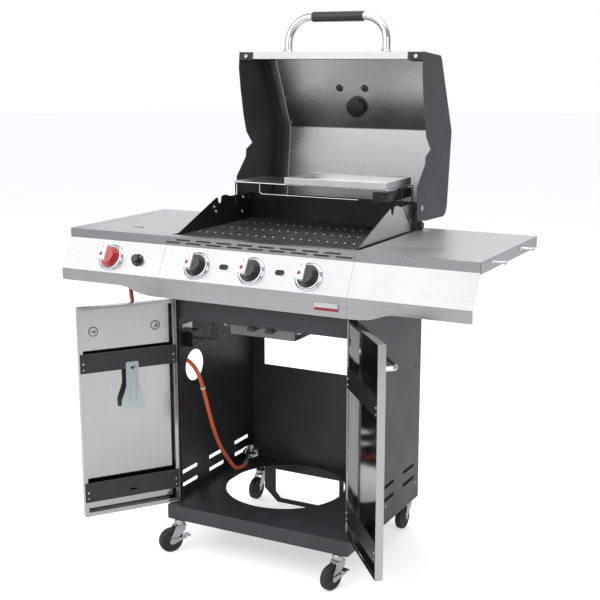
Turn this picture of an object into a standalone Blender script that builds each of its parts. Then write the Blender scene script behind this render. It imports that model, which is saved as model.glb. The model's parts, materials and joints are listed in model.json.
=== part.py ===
"""Gas barbecue grill: cabinet cart on casters, firebox, hinged lid, side shelves, gas train."""
import math
import bpy
import bmesh
from mathutils import Matrix, Vector

# ---- driving dimensions, metres; X to the grill's right, Y to the back, Z up, cart front at y = 0
GAP = 0.0003
SHEET = 0.0015
CART_HALF = 0.3104
CART_DEPTH = 0.534
BASE_LOW = 0.1014
BASE_TOP = 0.147
PANEL_TOP = 0.945
PANEL_FRONT = 0.0505
SHELF_HALF = 0.67
SHELF_TOP = 0.9872
SHELF_BACK = 0.5377
SHELF_SKIRT = 0.033
WING_INNER = 0.3108

BOTTLE_HOLE = (-0.059, 0.3065, 0.193)
BOTTLE_HOLE_SIDES = 48
VENT_Y = (0.125, 0.285, 0.446)
VENT_Z = (0.181, 0.2235)
VENT_SIZE = (0.088, 0.012)
HOSE_HOLE = (0.165, 0.557, 0.05)

DOOR_PIVOT = (0.2985, 0.0375)
DOOR_EDGE = 0.3035
DOOR_FREE = 0.0015
DOOR_THICK = 0.022
DOOR_LOW, DOOR_HIGH = 0.150, 0.795
DOOR_OPEN = {"left": -125.7, "right": 130.5}
DOOR_SHEET = 0.001
BAR_Z = ((0.597, 0.655), (0.195, 0.256))
HANDLE_Z = 0.717
HANDLE_FEET = (0.0515, 0.2435)
HANDLE_REACH = 0.044
HANDLE_RADIUS = 0.008
PIN_RADIUS = 0.004

FIREBOX_HALF = 0.298
FIREBOX_FRONT, FIREBOX_BACK = 0.0635, 0.52
RIM_TOP = 0.985
GRATE_THICK = 0.0115
BURNER_X = (-0.185, 0.0, 0.185)
TENT_HALF = 0.055

LID_AXIS = (0.49, 1.055)
GAUGE_AT = (0.1733, 1.2287)
LID_OPEN = -96.6
LID_CAP_IN, LID_CAP_OUT = 0.268, 0.3195
LID_PANEL_HALF = 0.2675
LID_HANDLE_Z = 1.049
LID_HANDLE_REACH = 0.091
LID_HANDLE_FOOT = 0.1713
LID_HANDLE_BEND = 0.08
LID_TUBE_RADIUS = 0.0125

FACE_TOP, FACE_LOW = (0.0287, 0.9591), (-0.0216, 0.8684)
KNOBS = {"side_burner_knob": -0.497, "left_knob": -0.188, "centre_knob": -0.003, "right_knob": 0.182}
BUTTON_X = -0.398
KNOB_UP = 0.46
KNOB_RADIUS, KNOB_HEIGHT = 0.030, 0.034
MANIFOLD_DEPTH = -0.052
RAIL_Z = 0.7277
RAIL_TAB_X = 0.1252

CASTER_X, CASTER_Y = 0.275, (0.012, 0.520)
CASTER_TURN = {"fl": -33.0, "fr": -17.0, "bl": 0.0, "br": 0.0}
WHEEL_RADIUS, WHEEL_HALF = 0.038, 0.012
TRAIL = 0.031
CHEEK = 0.0128

HOSE_RADIUS = 0.0067
HOSE_ROUTE = [(-0.5445, 0.160, 0.8335), (-0.5445, 0.160, 0.808), (-0.544, 0.159, 0.784),
              (-0.536, 0.155, 0.740), (-0.518, 0.148, 0.694), (-0.486, 0.140, 0.650),
              (-0.444, 0.136, 0.616), (-0.398, 0.134, 0.597), (-0.352, 0.135, 0.587),
              (-0.316, 0.138, 0.575), (-0.291, 0.142, 0.551), (-0.277, 0.148, 0.516),
              (-0.271, 0.159, 0.470), (-0.270, 0.176, 0.420), (-0.270, 0.197, 0.366),
              (-0.270, 0.223, 0.309), (-0.269, 0.255, 0.255), (-0.267, 0.292, 0.208),
              (-0.267, 0.326, 0.172), (-0.266, 0.356, 0.1565), (-0.265, 0.3818, 0.1545),
              (-0.2645, 0.3933, 0.1568), (-0.264, 0.403, 0.1633), (-0.264, 0.4072, 0.1675)]
REGULATOR_NECK = 0.036

X_AXIS_PLANE = Matrix(((0, 0, 1), (1, 0, 0), (0, 1, 0))).to_euler()
Y_AXIS_PLANE = Matrix(((1, 0, 0), (0, 0, -1), (0, 1, 0))).to_euler()

for old in list(bpy.data.objects):
    bpy.data.objects.remove(old, do_unlink=True)

parts = bpy.data.collections.new("gas_barbecue_grill")
cutters = bpy.data.collections.new("cutters")
bpy.context.scene.collection.children.link(parts)
bpy.context.scene.collection.children.link(cutters)


# ---- materials
def material(name, colour, metallic, roughness):
    made = bpy.data.materials.new(name)
    made.use_nodes = True
    shader = made.node_tree.nodes["Principled BSDF"]
    shader.inputs["Base Color"].default_value = (*colour, 1.0)
    shader.inputs["Metallic"].default_value = metallic
    shader.inputs["Roughness"].default_value = roughness
    return made


STAINLESS = ((0.62, 0.62, 0.61), 1.0, 0.3)
GREY_PAINT = ((0.055, 0.057, 0.06), 0.3, 0.45)
BLACK_PAINT = ((0.018, 0.019, 0.021), 0.2, 0.4)
CHROME = ((0.8, 0.8, 0.8), 1.0, 0.1)
ZINC = ((0.6, 0.62, 0.64), 1.0, 0.35)
RUBBER = ((0.025, 0.025, 0.026), 0.0, 0.7)
IRON = ((0.03, 0.03, 0.03), 0.4, 0.55)
PLASTIC = ((0.03, 0.03, 0.032), 0.0, 0.4)
RED = ((0.5, 0.03, 0.03), 0.0, 0.3)
ORANGE = ((0.75, 0.16, 0.06), 0.0, 0.5)


# ---- placing and joining
def empty(name, at, parent=None, turn=(0.0, 0.0, 0.0)):
    made = bpy.data.objects.new(name, None)
    parts.objects.link(made)
    made.parent = parent
    made.location = at
    made.rotation_euler = [math.radians(a) for a in turn]
    return made


def add(name, data, parent, look, at=(0, 0, 0), turn=(0, 0, 0), collection=parts):
    made = bpy.data.objects.new(name, data)
    collection.objects.link(made)
    made.parent = parent
    made.location = at
    made.rotation_euler = turn
    if look:
        made.data.materials.append(material(name, *look))
    if collection is cutters:
        made.hide_render = True
        made.display_type = "WIRE"
    return made


def cube_mesh(low, high, skip=None):
    """A box between two corners, with the face that looks along skip left out."""
    low, high = Vector(low), Vector(high)
    bm = bmesh.new()
    bmesh.ops.create_cube(bm, size=1.0)
    bmesh.ops.scale(bm, verts=bm.verts, vec=high - low)
    bmesh.ops.translate(bm, verts=bm.verts, vec=(low + high) / 2)
    if skip:
        gone = [f for f in bm.faces if f.normal.dot(Vector(skip)) > 0.9]
        bmesh.ops.delete(bm, geom=gone, context="FACES")
    mesh = bpy.data.meshes.new("box")
    bm.to_mesh(mesh)
    bm.free()
    return mesh


def boxes_mesh(corner_pairs):
    """Several boxes in one mesh, for a cutter."""
    bm = bmesh.new()
    for low, high in corner_pairs:
        low, high = Vector(low), Vector(high)
        made = bmesh.ops.create_cube(bm, size=1.0)["verts"]
        bmesh.ops.scale(bm, verts=made, vec=high - low)
        bmesh.ops.translate(bm, verts=made, vec=(low + high) / 2)
    mesh = bpy.data.meshes.new("boxes")
    bm.to_mesh(mesh)
    bm.free()
    return mesh


def rod_mesh(start, end, radius, sides=16, end_radius=None):
    start, end = Vector(start), Vector(end)
    bm = bmesh.new()
    far = radius if end_radius is None else end_radius
    bmesh.ops.create_cone(bm, cap_ends=True, segments=sides, radius1=radius, radius2=far,
                          depth=(end - start).length)
    turn = Vector((0, 0, 1)).rotation_difference(end - start).to_matrix().to_4x4()
    bmesh.ops.transform(bm, matrix=Matrix.Translation((start + end) / 2) @ turn, verts=bm.verts)
    mesh = bpy.data.meshes.new("rod")
    bm.to_mesh(mesh)
    bm.free()
    mesh.shade_smooth()
    mesh.set_sharp_from_angle(angle=math.radians(40))
    return mesh


def solid_of(thing):
    """The evaluated shape of a curve as a welded mesh; the curve is removed."""
    bpy.context.view_layer.update()
    seen = thing.evaluated_get(bpy.context.evaluated_depsgraph_get())
    mesh = bpy.data.meshes.new_from_object(seen)
    bm = bmesh.new()
    bm.from_mesh(mesh)
    bmesh.ops.remove_doubles(bm, verts=bm.verts, dist=0.00005)
    bm.to_mesh(mesh)
    bm.free()
    mesh.transform(thing.matrix_world)
    bpy.data.objects.remove(thing, do_unlink=True)
    return mesh


def outline_curve(loops, thickness):
    curve = bpy.data.curves.new("outline", "CURVE")
    curve.dimensions = "2D"
    curve.fill_mode = "BOTH"
    curve.extrude = thickness / 2
    for loop in loops:
        spline = curve.splines.new("POLY")
        spline.points.add(len(loop) - 1)
        for point, (a, b) in zip(spline.points, loop):
            point.co = (a, b, 0, 1)
        spline.use_cyclic_u = True
    return curve


def plate_mesh(loops, low, high, normal="x"):
    """Flat outlines, the first outside and the rest holes, filled between two planes.

    Along x the outline's points are (y, z), along y they are (x, z), along z (x, y)."""
    turn = {"x": X_AXIS_PLANE, "y": Y_AXIS_PLANE, "z": (0, 0, 0)}[normal]
    middle = (low + high) / 2
    at = {"x": (middle, 0, 0), "y": (0, middle, 0), "z": (0, 0, middle)}[normal]
    flat = add("outline", outline_curve(loops, high - low), None, None, at, turn, cutters)
    return solid_of(flat)


def sheet_mesh(profile, low, high, along="x"):
    """An open strip: a line of points run along an axis. Solidify makes it sheet metal."""
    lift = {"x": lambda p, t: (t, *p), "z": lambda p, t: (*p, t)}[along]
    bm = bmesh.new()
    line = [bm.verts.new(lift(p, low)) for p in profile]
    edges = [bm.edges.new(pair) for pair in zip(line, line[1:])]
    grown = bmesh.ops.extrude_edge_only(bm, edges=edges)["geom"]
    step = Vector(lift(profile[0], high)) - Vector(lift(profile[0], low))
    bmesh.ops.translate(bm, verts=[g for g in grown if isinstance(g, bmesh.types.BMVert)], vec=step)
    mesh = bpy.data.meshes.new("sheet")
    bm.to_mesh(mesh)
    bm.free()
    return mesh


def thicken(thing, thickness, offset=-1.0):
    mod = thing.modifiers.new("thickness", "SOLIDIFY")
    mod.thickness = thickness
    mod.offset = offset
    mod.use_even_offset = True
    return thing


def combine(thing, mesh, operation):
    other = add(thing.name + "_" + operation.lower(), mesh, thing.parent, None, collection=cutters)
    other.location = thing.location
    other.rotation_euler = thing.rotation_euler
    mod = thing.modifiers.new(operation.lower(), "BOOLEAN")
    mod.operation = operation
    mod.solver = "EXACT"
    mod.object = other
    return thing


def cut(thing, mesh):
    return combine(thing, mesh, "DIFFERENCE")


def join(thing, mesh):
    return combine(thing, mesh, "UNION")


def turned(name, profile, parent, look, at=(0, 0, 0), turn=(0, 0, 0), sides=24):
    """A turned shape about its own Z, from (radius, height) points read top to bottom outside."""
    bm = bmesh.new()
    line = [bm.verts.new((r, 0, z)) for r, z in profile]
    for pair in zip(line, line[1:]):
        bm.edges.new(pair)
    if profile[0][0] > 0:
        bm.edges.new((line[-1], line[0]))
    mesh = bpy.data.meshes.new(name)
    bm.to_mesh(mesh)
    bm.free()
    thing = add(name, mesh, parent, look, at, turn)
    mod = thing.modifiers.new("turn", "SCREW")
    mod.axis = "Z"
    mod.steps = sides
    mod.render_steps = sides
    mod.use_merge_vertices = True
    mod.merge_threshold = 0.00005
    mod.use_smooth_shade = True
    return thing


def tube(name, points, radius, parent, look, resolution=2, collection=parts):
    curve = bpy.data.curves.new(name, "CURVE")
    curve.dimensions = "3D"
    curve.bevel_depth = radius
    curve.bevel_resolution = resolution
    curve.use_fill_caps = True
    spline = curve.splines.new("POLY")
    spline.points.add(len(points) - 1)
    for point, place in zip(spline.points, points):
        point.co = (*place, 1)
    return add(name, curve, parent, look, collection=collection)


def arc(centre, radius, start, end, steps):
    """Points round a centre, angles in degrees from the first axis towards the second."""
    turn = [math.radians(start + (end - start) * i / steps) for i in range(steps + 1)]
    return [(centre[0] + radius * math.cos(t), centre[1] + radius * math.sin(t)) for t in turn]


def rectangle(low_a, low_b, high_a, high_b):
    return [(low_a, low_b), (high_a, low_b), (high_a, high_b), (low_a, high_b)]


def smooth_line(points, spacing):
    """Points a set distance apart on the smooth curve through a list of points."""
    fine = []
    ends = [points[0], *points, points[-1]]
    for a, b, c, d in zip(ends, ends[1:], ends[2:], ends[3:]):
        a, b, c, d = Vector(a), Vector(b), Vector(c), Vector(d)
        for i in range(12):
            t = i / 12
            fine.append(0.5 * (2 * b + (c - a) * t + (2 * a - 5 * b + 4 * c - d) * t * t
                               + (3 * b - a - 3 * c + d) * t ** 3))
    fine.append(Vector(points[-1]))
    total = sum((q - p).length for p, q in zip(fine, fine[1:]))
    count = max(2, round(total / spacing))
    out, run, goal = [fine[0]], 0.0, 1
    for p, q in zip(fine, fine[1:]):
        step = (q - p).length
        while goal < count and run + step >= total * goal / count:
            out.append(p.lerp(q, (total * goal / count - run) / step))
            goal += 1
        run += step
    return out + [fine[-1]]


# ---- cart
def make_cart(root):
    base = add("base_tray", cube_mesh((-CART_HALF, 0, BASE_LOW), (CART_HALF, CART_DEPTH, BASE_TOP),
                                      skip=(0, 0, -1)), root, GREY_PAINT)
    thicken(base, SHEET)
    x, y, radius = BOTTLE_HOLE
    cut(base, rod_mesh((x, y, 0.12), (x, y, 0.2), radius, BOTTLE_HOLE_SIDES))
    for side in (-1, 1):
        pin = (side * DOOR_PIVOT[0], DOOR_PIVOT[1])
        cut(base, rod_mesh((*pin, 0.12), (*pin, 0.2), PIN_RADIUS + 0.0005, 12))

    cradle_y = 0.455
    left, right = x - 0.163, x + 0.137
    cradle = [[(left, 0.1452), (left, 0.062), (left + 0.05, 0.018), (right - 0.03, 0.018),
               (right, 0.048), (right, 0.1452), (right - 0.016, 0.1452), (right - 0.016, 0.055),
               (right - 0.037, 0.034), (left + 0.062, 0.034), (left + 0.043, 0.055),
               (left + 0.043, 0.1452)]]
    add("cylinder_cradle", plate_mesh(cradle, cradle_y - 0.0015, cradle_y + 0.0015, "y"), root, BLACK_PAINT)

    for side, name in ((-1, "left_side_panel"), (1, "right_side_panel")):
        flange = 0.0239
        plan = [(side * (CART_HALF - flange), PANEL_FRONT), (side * CART_HALF, PANEL_FRONT),
                (side * CART_HALF, CART_DEPTH - SHEET), (side * (CART_HALF - 0.03), CART_DEPTH - SHEET)]
        panel = add(name, sheet_mesh(plan, BASE_TOP + GAP, PANEL_TOP, "z"), root, GREY_PAINT)
        thicken(panel, SHEET, side * 1.0)
        ear_z = DOOR_HIGH + 0.0025
        join(panel, cube_mesh((side * 0.2975 - 0.0105, 0.026, ear_z),
                              (side * 0.2975 + 0.0105, PANEL_FRONT + 0.001, ear_z + 0.002)))
        pin = (side * DOOR_PIVOT[0], DOOR_PIVOT[1])
        cut(panel, rod_mesh((*pin, ear_z - 0.01), (*pin, ear_z + 0.01), PIN_RADIUS + 0.0005, 12))
        wide, high = VENT_SIZE
        vents = [((side * CART_HALF - 0.005, y - wide / 2, z - high / 2),
                  (side * CART_HALF + 0.005, y + wide / 2, z + high / 2)) for y in VENT_Y for z in VENT_Z]
        cut(panel, boxes_mesh(vents))
        if side < 0:
            y, z, radius = HOSE_HOLE
            cut(panel, rod_mesh((-CART_HALF - 0.01, y, z), (-CART_HALF + 0.01, y, z), radius, 28))
            (y, z), _ = face_point(KNOB_UP, MANIFOLD_DEPTH)
            cut(panel, cube_mesh((-CART_HALF - 0.01, 0.04, z - 0.013), (-0.28, y + 0.013, z + 0.013)))

    inside = CART_HALF - SHEET - 0.0004
    back = [rectangle(-inside, BASE_TOP + GAP, inside, PANEL_TOP), rectangle(-0.262, 0.478, 0.262, 0.80)]
    add("back_panel", plate_mesh(back, CART_DEPTH - 0.005, CART_DEPTH - 0.0035, "y"), root, GREY_PAINT)
    cross = [rectangle(-inside, 0.733, inside, 0.835)]
    front = PANEL_FRONT + SHEET + 0.0005
    add("front_cross_panel", plate_mesh(cross, front, front + SHEET, "y"), root, GREY_PAINT)
    rails = [[(-0.128, 0.0545), (-0.112, 0.0545), (-0.112, 0.505), (0.112, 0.505), (0.112, 0.0545),
              (0.128, 0.0545), (0.128, 0.5285), (-0.128, 0.5285)]]
    runners = add("grease_tray_rails", plate_mesh(rails, RAIL_Z, RAIL_Z + 0.0015, "z"), root, ZINC)
    for side in (-1, 1):
        tab = side * RAIL_TAB_X
        join(runners, cube_mesh((tab - 0.0027, 0.0546, RAIL_Z + 0.0003),
                                (tab + 0.0027, 0.0558, RAIL_Z + 0.020)))


def make_grease_tray(root):
    tray = add("grease_tray", cube_mesh((-0.108, 0.0, 0.0), (0.108, 0.40, 0.027), skip=(0, 0, 1)),
               empty("grease_tray_slide", (0, 0.058, 0.704), root), STAINLESS)
    thicken(tray, 0.001)
    for side in (-1, 1):
        join(tray, cube_mesh((side * 0.1145 - 0.007, 0.001, 0.0255), (side * 0.1145 + 0.007, 0.399, 0.0265)))


def make_casters(root):
    for key, turn in CASTER_TURN.items():
        side = -1 if key[1] == "l" else 1
        y = CASTER_Y[0] if key[0] == "f" else CASTER_Y[1]
        swivel = empty("swivel_" + key, (side * CASTER_X, y, 0), root, (0, 0, turn))
        axle_z = WHEEL_RADIUS
        fork = add("caster_fork_" + key, cube_mesh((-CHEEK - 0.0018, -0.018, 0.0805),
                                                    (CHEEK + 0.0018, 0.016, 0.083)), swivel, ZINC)
        for cheek in (-1, 1):
            arm = [(-0.018, 0.0825), (-TRAIL - 0.009, axle_z + 0.002), (-TRAIL, axle_z - 0.009),
                   (-TRAIL + 0.009, axle_z - 0.002), (0.012, 0.0665), (0.016, 0.0825)]
            low = CHEEK if cheek > 0 else -CHEEK - 0.0018
            join(fork, plate_mesh([arm], low, low + 0.0018, "x"))
        join(fork, rod_mesh((0, 0, 0.082), (0, 0, 0.1008), 0.0135, 16, 0.011))
        join(fork, rod_mesh((0, 0, 0.1), (0, 0, 0.145), 0.0055, 12))
        join(fork, rod_mesh((-CHEEK - 0.003, -TRAIL, axle_z), (CHEEK + 0.003, -TRAIL, axle_z), 0.004, 12))
        hub = empty("axle_" + key, (0, -TRAIL, axle_z), swivel)
        profile = [(0.0045, WHEEL_HALF), (0.014, WHEEL_HALF), (0.016, 0.009), (0.027, 0.009),
                   (0.030, 0.0115), (0.0345, 0.0115), (WHEEL_RADIUS, 0.008), (WHEEL_RADIUS, -0.008),
                   (0.0345, -0.0115), (0.030, -0.0115), (0.027, -0.009), (0.016, -0.009),
                   (0.014, -WHEEL_HALF), (0.0045, -WHEEL_HALF)]
        turned("caster_wheel_" + key, profile, hub, RUBBER, turn=(0, math.radians(90), 0), sides=20)
        if key[0] == "f":
            lever = [arc((0, 0), 0.0105, 150, 300, 6) + [(0.024, -0.003), (0.046, 0.004), (0.046, 0.0095),
                                                       (0.014, 0.0085)]]
            near = CHEEK + 0.0034
            brake = add("brake_lever_" + key, plate_mesh(lever, near, near + 0.002, "x"),
                        empty("brake_" + key, (0, -TRAIL, axle_z), swivel), ZINC)
            join(brake, cube_mesh((-0.012, 0.0405, 0.0065), (near + 0.0015, 0.062, 0.0085)))


# ---- doors
def make_doors(root):
    for side, name in ((-1, "left"), (1, "right")):
        pivot = empty(name + "_door_hinge", (side * DOOR_PIVOT[0], DOOR_PIVOT[1], 0), root,
                      (0, 0, DOOR_OPEN[name]))
        far, near = side * DOOR_EDGE - pivot.location.x, side * DOOR_FREE - pivot.location.x
        outer, inner = -DOOR_THICK / 2, DOOR_THICK / 2
        low_x, high_x = min(far, near), max(far, near)
        door = add(name + "_door", cube_mesh((low_x, outer, DOOR_LOW), (high_x, inner, DOOR_HIGH),
                                             skip=(0, 1, 0)), pivot, STAINLESS)
        thicken(door, DOOR_SHEET)
        join(door, rod_mesh((0, 0, DOOR_LOW - 0.008), (0, 0, DOOR_LOW + 0.0008), PIN_RADIUS, 12))
        join(door, rod_mesh((0, 0, DOOR_HIGH - 0.0008), (0, 0, DOOR_HIGH + 0.007), PIN_RADIUS, 12))
        rim = DOOR_SHEET + 0.0008
        for level, (low_z, high_z) in zip(("upper", "lower"), BAR_Z):
            bar = [rectangle(low_x + rim, low_z, high_x - rim, high_z)]
            if level == "lower":
                middle = (low_x + high_x) / 2
                bar.append(rectangle(middle - 0.012, 0.213, middle + 0.012, 0.219))
            add(name + "_door_" + level + "_bar", plate_mesh(bar, inner - 0.0022, inner - 0.0002, "y"), pivot,
                BLACK_PAINT)
        feet = sorted(side * x - pivot.location.x for x in HANDLE_FEET)
        bend = 0.016
        reach = outer - HANDLE_REACH
        path = [(feet[0], outer - 0.0005), (feet[0], reach + bend)]
        path += arc((feet[0] + bend, reach + bend), bend, 180, 270, 5)[1:]
        path += arc((feet[1] - bend, reach + bend), bend, 270, 360, 5)
        path += [(feet[1], outer - 0.0005)]
        tube(name + "_door_handle", [(x, y, HANDLE_Z) for x, y in path], HANDLE_RADIUS, pivot, CHROME, 2)
        if name == "left":
            start = -(DOOR_EDGE - DOOR_PIVOT[0])
            blade = [(0.107, 0.500), (0.112, 0.468), (0.179, 0.468), (0.179, 0.500), (0.163, 0.545),
                     (0.163, 0.618), (0.123, 0.618), (0.123, 0.545)]
            shape = [[(start + s, z) for s, z in blade]]
            scraper = add("grate_scraper", plate_mesh(shape, inner + 0.0003, inner + 0.002, "y"), pivot, ZINC)
            hole = (start + 0.143, 0, 0.60)
            cut(scraper, rod_mesh((hole[0], -0.05, hole[2]), (hole[0], 0.05, hole[2]), 0.006, 12))


# ---- firebox, burners and cooking surface
def make_firebox(root):
    half, front, back = FIREBOX_HALF, FIREBOX_FRONT, FIREBOX_BACK
    slot = [(0.2985, 1.074), (0.3035, 1.058), (0.311, 1.0525), (0.3185, 1.058), (0.3235, 1.0765)]
    floor = [(back, 0.905), (0.40, 0.855), (0.19, 0.855), (front, 0.905)]
    outline = [(front, RIM_TOP), (0.072, 0.989), (0.29, 1.074), *slot, (0.345, 1.0785), (0.375, 1.071),
               (back - 0.003, 1.0705), (back, 1.0675), *floor]
    box = add("firebox", plate_mesh([outline], -half, half, "x"), root, BLACK_PAINT)
    inner = [(front + SHEET, 1.2), (front + SHEET, 0.906), (0.1908, 0.8565), (0.3992, 0.8565),
             (back - SHEET, 0.906), (back - SHEET, 1.2)]
    cut(box, plate_mesh([inner], -half + SHEET, half - SHEET, "x"))
    ledge = RIM_TOP - GRATE_THICK - GAP
    join(box, cube_mesh((-half + 0.001, front + 0.001, ledge - SHEET), (half - 0.001, 0.0755, ledge)))
    join(box, cube_mesh((-half + 0.001, 0.5085, ledge - SHEET), (half - 0.001, back - 0.001, ledge)))
    cut(box, rod_mesh((0, 0.295, 0.8), (0, 0.295, 0.9), 0.028, 20))
    y, z = LID_AXIS
    cut(box, rod_mesh((-0.4, y, z), (0.4, y, z), 0.0062, 14))
    for x in BURNER_X:
        cut(box, rod_mesh((x, 0.05, 0.925), (x, 0.072, 0.925), 0.011, 14))

    for name, x in zip(("left", "centre", "right"), BURNER_X):
        profile = [(0.0, 0.431), (0.012, 0.430), (0.0135, 0.428), (0.0135, 0.06), (0.0085, 0.035),
                   (0.0085, 0.0), (0.0, 0.0)]
        turned("burner_" + name, profile, root, STAINLESS, (x, 0.075, 0.925), (math.radians(-90), 0, 0), 14)
        tent = [(x + TENT_HALF, 0.942), (x + TENT_HALF - 0.004, 0.944), (x + 0.008, 0.962),
                (x - 0.008, 0.962), (x - TENT_HALF + 0.004, 0.944), (x - TENT_HALF, 0.942)]
        under = [(a, b - 0.0015) for a, b in reversed(tent)]
        shield = add("heat_shield_" + name, plate_mesh([tent + under], 0.078, 0.506, "y"), root, IRON)
        shield.data.shade_flat()

    wall = half - SHEET - 0.0012
    for name, low, high in (("left", -wall, -0.0008), ("right", 0.0008, wall)):
        near, far = 0.0665, 0.5168
        loops = [rectangle(low, near, high, far)]
        count, rim, bar = 13, 0.010, 0.0105
        pitch = (high - low - 2 * rim + bar) / count
        lengths = [(near + rim, 0.287), (0.297, far - rim)]
        loops += [rectangle(low + rim + i * pitch, a, low + rim + (i + 1) * pitch - bar, b)
                  for i in range(count) for a, b in lengths]
        add("cooking_grate_" + name, plate_mesh(loops, RIM_TOP - GRATE_THICK, RIM_TOP, "z"), root, IRON)


def make_rack(root):
    half, near, far, top, thick = 0.288, 0.303, 0.495, 1.128, 0.005
    rack = add("warming_rack", cube_mesh((-half, near, top - thick), (half, far, top)), root, CHROME)
    count, rim, bar = 22, 0.006, 0.004
    pitch = (2 * half - 2 * rim + bar) / count
    cut(rack, boxes_mesh([((-half + rim + i * pitch, near + rim, top - 0.01),
                           (-half + rim + (i + 1) * pitch - bar, far - rim, top + 0.01))
                          for i in range(count)]))
    legs, wall = (0.389, 0.473), FIREBOX_HALF - 0.0008
    arms, feet = [], []
    for side in (-1, 1):
        low, high = sorted((side * (half - 0.002), side * (wall + 0.0012)))
        for y in legs:
            arms.append(((low, y - 0.003, top - 0.0045), (high, y + 0.003, top - 0.0005)))
            feet.append(((side * wall - 0.0017, y - 0.0024, 1.0715),
                         (side * wall + 0.0017, y + 0.0024, top - 0.001)))
    join(rack, boxes_mesh(arms))
    join(rack, boxes_mesh(feet))
    tray = add("roasting_tray", cube_mesh((-0.056, 0.297, top + GAP), (0.283, 0.487, 1.1475), skip=(0, 0, 1)),
               root, STAINLESS)
    thicken(tray, 0.0009)


# ---- lid, drawn closed about its hinge and turned open by the empty that holds it
def lid_points():
    return [(0.0244, 0.991), (0.0201, 1.1262), (0.0228, 1.1362), (0.0311, 1.1439), (0.2434, 1.2705),
            (0.4842, 1.2724), (0.5045, 1.2640), (0.5157, 1.2464), (0.5225, 1.17), (0.5291, 1.0953),
            (0.5273, 1.0243)]


def from_hinge(points):
    return [(y - LID_AXIS[0], z - LID_AXIS[1]) for y, z in points]


def make_lid(root):
    hinge = empty("lid_hinge", (0, *LID_AXIS), root, (LID_OPEN, 0, 0))
    shape = lid_points()
    lip = [(0.047, 0.991)]
    panel = add("lid_panel", sheet_mesh(from_hinge(lip + shape[:-2]), -LID_PANEL_HALF, LID_PANEL_HALF), hinge,
                STAINLESS)
    thicken(panel, 0.0012)
    facet = (Vector(shape[4]) - Vector(shape[3])).normalized()
    gauge_at = Vector(GAUGE_AT) - Vector(LID_AXIS)
    outward = Vector((0, -facet.y, facet.x))
    gauge_turn = Vector((0, 0, 1)).rotation_difference(outward).to_euler()
    gauge = Vector((0, gauge_at.x, gauge_at.y))
    cut(panel, rod_mesh(gauge - outward * 0.01, gauge + outward * 0.01, 0.0085, 16))
    profile = [(0.0, 0.014), (0.034, 0.014), (0.037, 0.011), (0.037, 0.0006), (0.008, 0.0006),
               (0.008, -0.0018), (0.028, -0.0018), (0.028, -0.016), (0.024, -0.021), (0.0, -0.021)]
    turned("heat_gauge", profile, hinge, CHROME, gauge, gauge_turn, 24)

    rim = [(0.5273, 1.0243), (0.4231, 1.0098), (0.3582, 1.0618), (0.3325, 1.063), (0.3095, 1.1003),
           (0.2751, 1.0587), (0.2239, 1.0357), (0.1417, 1.0089), (0.0737, 0.9912)]
    for side, name in ((-1, "lid_cap_left"), (1, "lid_cap_right")):
        low, high = sorted((side * (LID_CAP_OUT - 0.002), side * LID_CAP_OUT))
        cap = add(name, plate_mesh([from_hinge(shape + rim[1:])], low, high, "x"), hinge, GREY_PAINT)
        band_low, band_high = sorted((side * LID_CAP_IN, side * (LID_CAP_OUT - 0.001)))
        inset = [(0.047, 0.9925), (0.0250, 0.9925), (0.0207, 1.1261), (0.0235, 1.1356), (0.0316, 1.1431),
                 (0.2437, 1.2697), (0.4838, 1.2716), (0.5039, 1.2632), (0.5150, 1.2459), (0.5216, 1.17)]
        band = thicken(add("band", sheet_mesh(from_hinge(inset), band_low, band_high), None, None,
                           collection=cutters), 0.0015)
        join(cap, solid_of(band))
        pin = sorted((side * 0.2925, side * (LID_CAP_OUT - 0.001)))
        join(cap, rod_mesh((pin[0], 0, 0), (pin[1], 0, 0), 0.0055, 12))

    z = LID_HANDLE_Z - LID_AXIS[1]
    face_y = 0.0226 - LID_AXIS[0]
    reach = -LID_HANDLE_REACH - LID_AXIS[0]
    bend, foot = LID_HANDLE_BEND, LID_HANDLE_FOOT
    path = [(-foot, face_y - 0.0016), (-foot, reach + bend)]
    path += arc((-foot + bend, reach + bend), bend, 180, 270, 8)[1:]
    path += arc((foot - bend, reach + bend), bend, 270, 360, 8)
    path += [(foot, face_y - 0.0016)]
    tube("lid_handle", [(x, y, z) for x, y in path], LID_TUBE_RADIUS, hinge, CHROME, 3)
    half = foot - bend - 0.003
    sleeve = [(LID_TUBE_RADIUS + 0.0004, half), (0.0150, half), (0.0160, half - 0.002),
              (0.0160, -half + 0.002), (0.0150, -half), (LID_TUBE_RADIUS + 0.0004, -half)]
    turned("lid_handle_grip", sleeve, hinge, PLASTIC, (0, reach, z), (0, math.radians(90), 0), 20)


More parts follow.
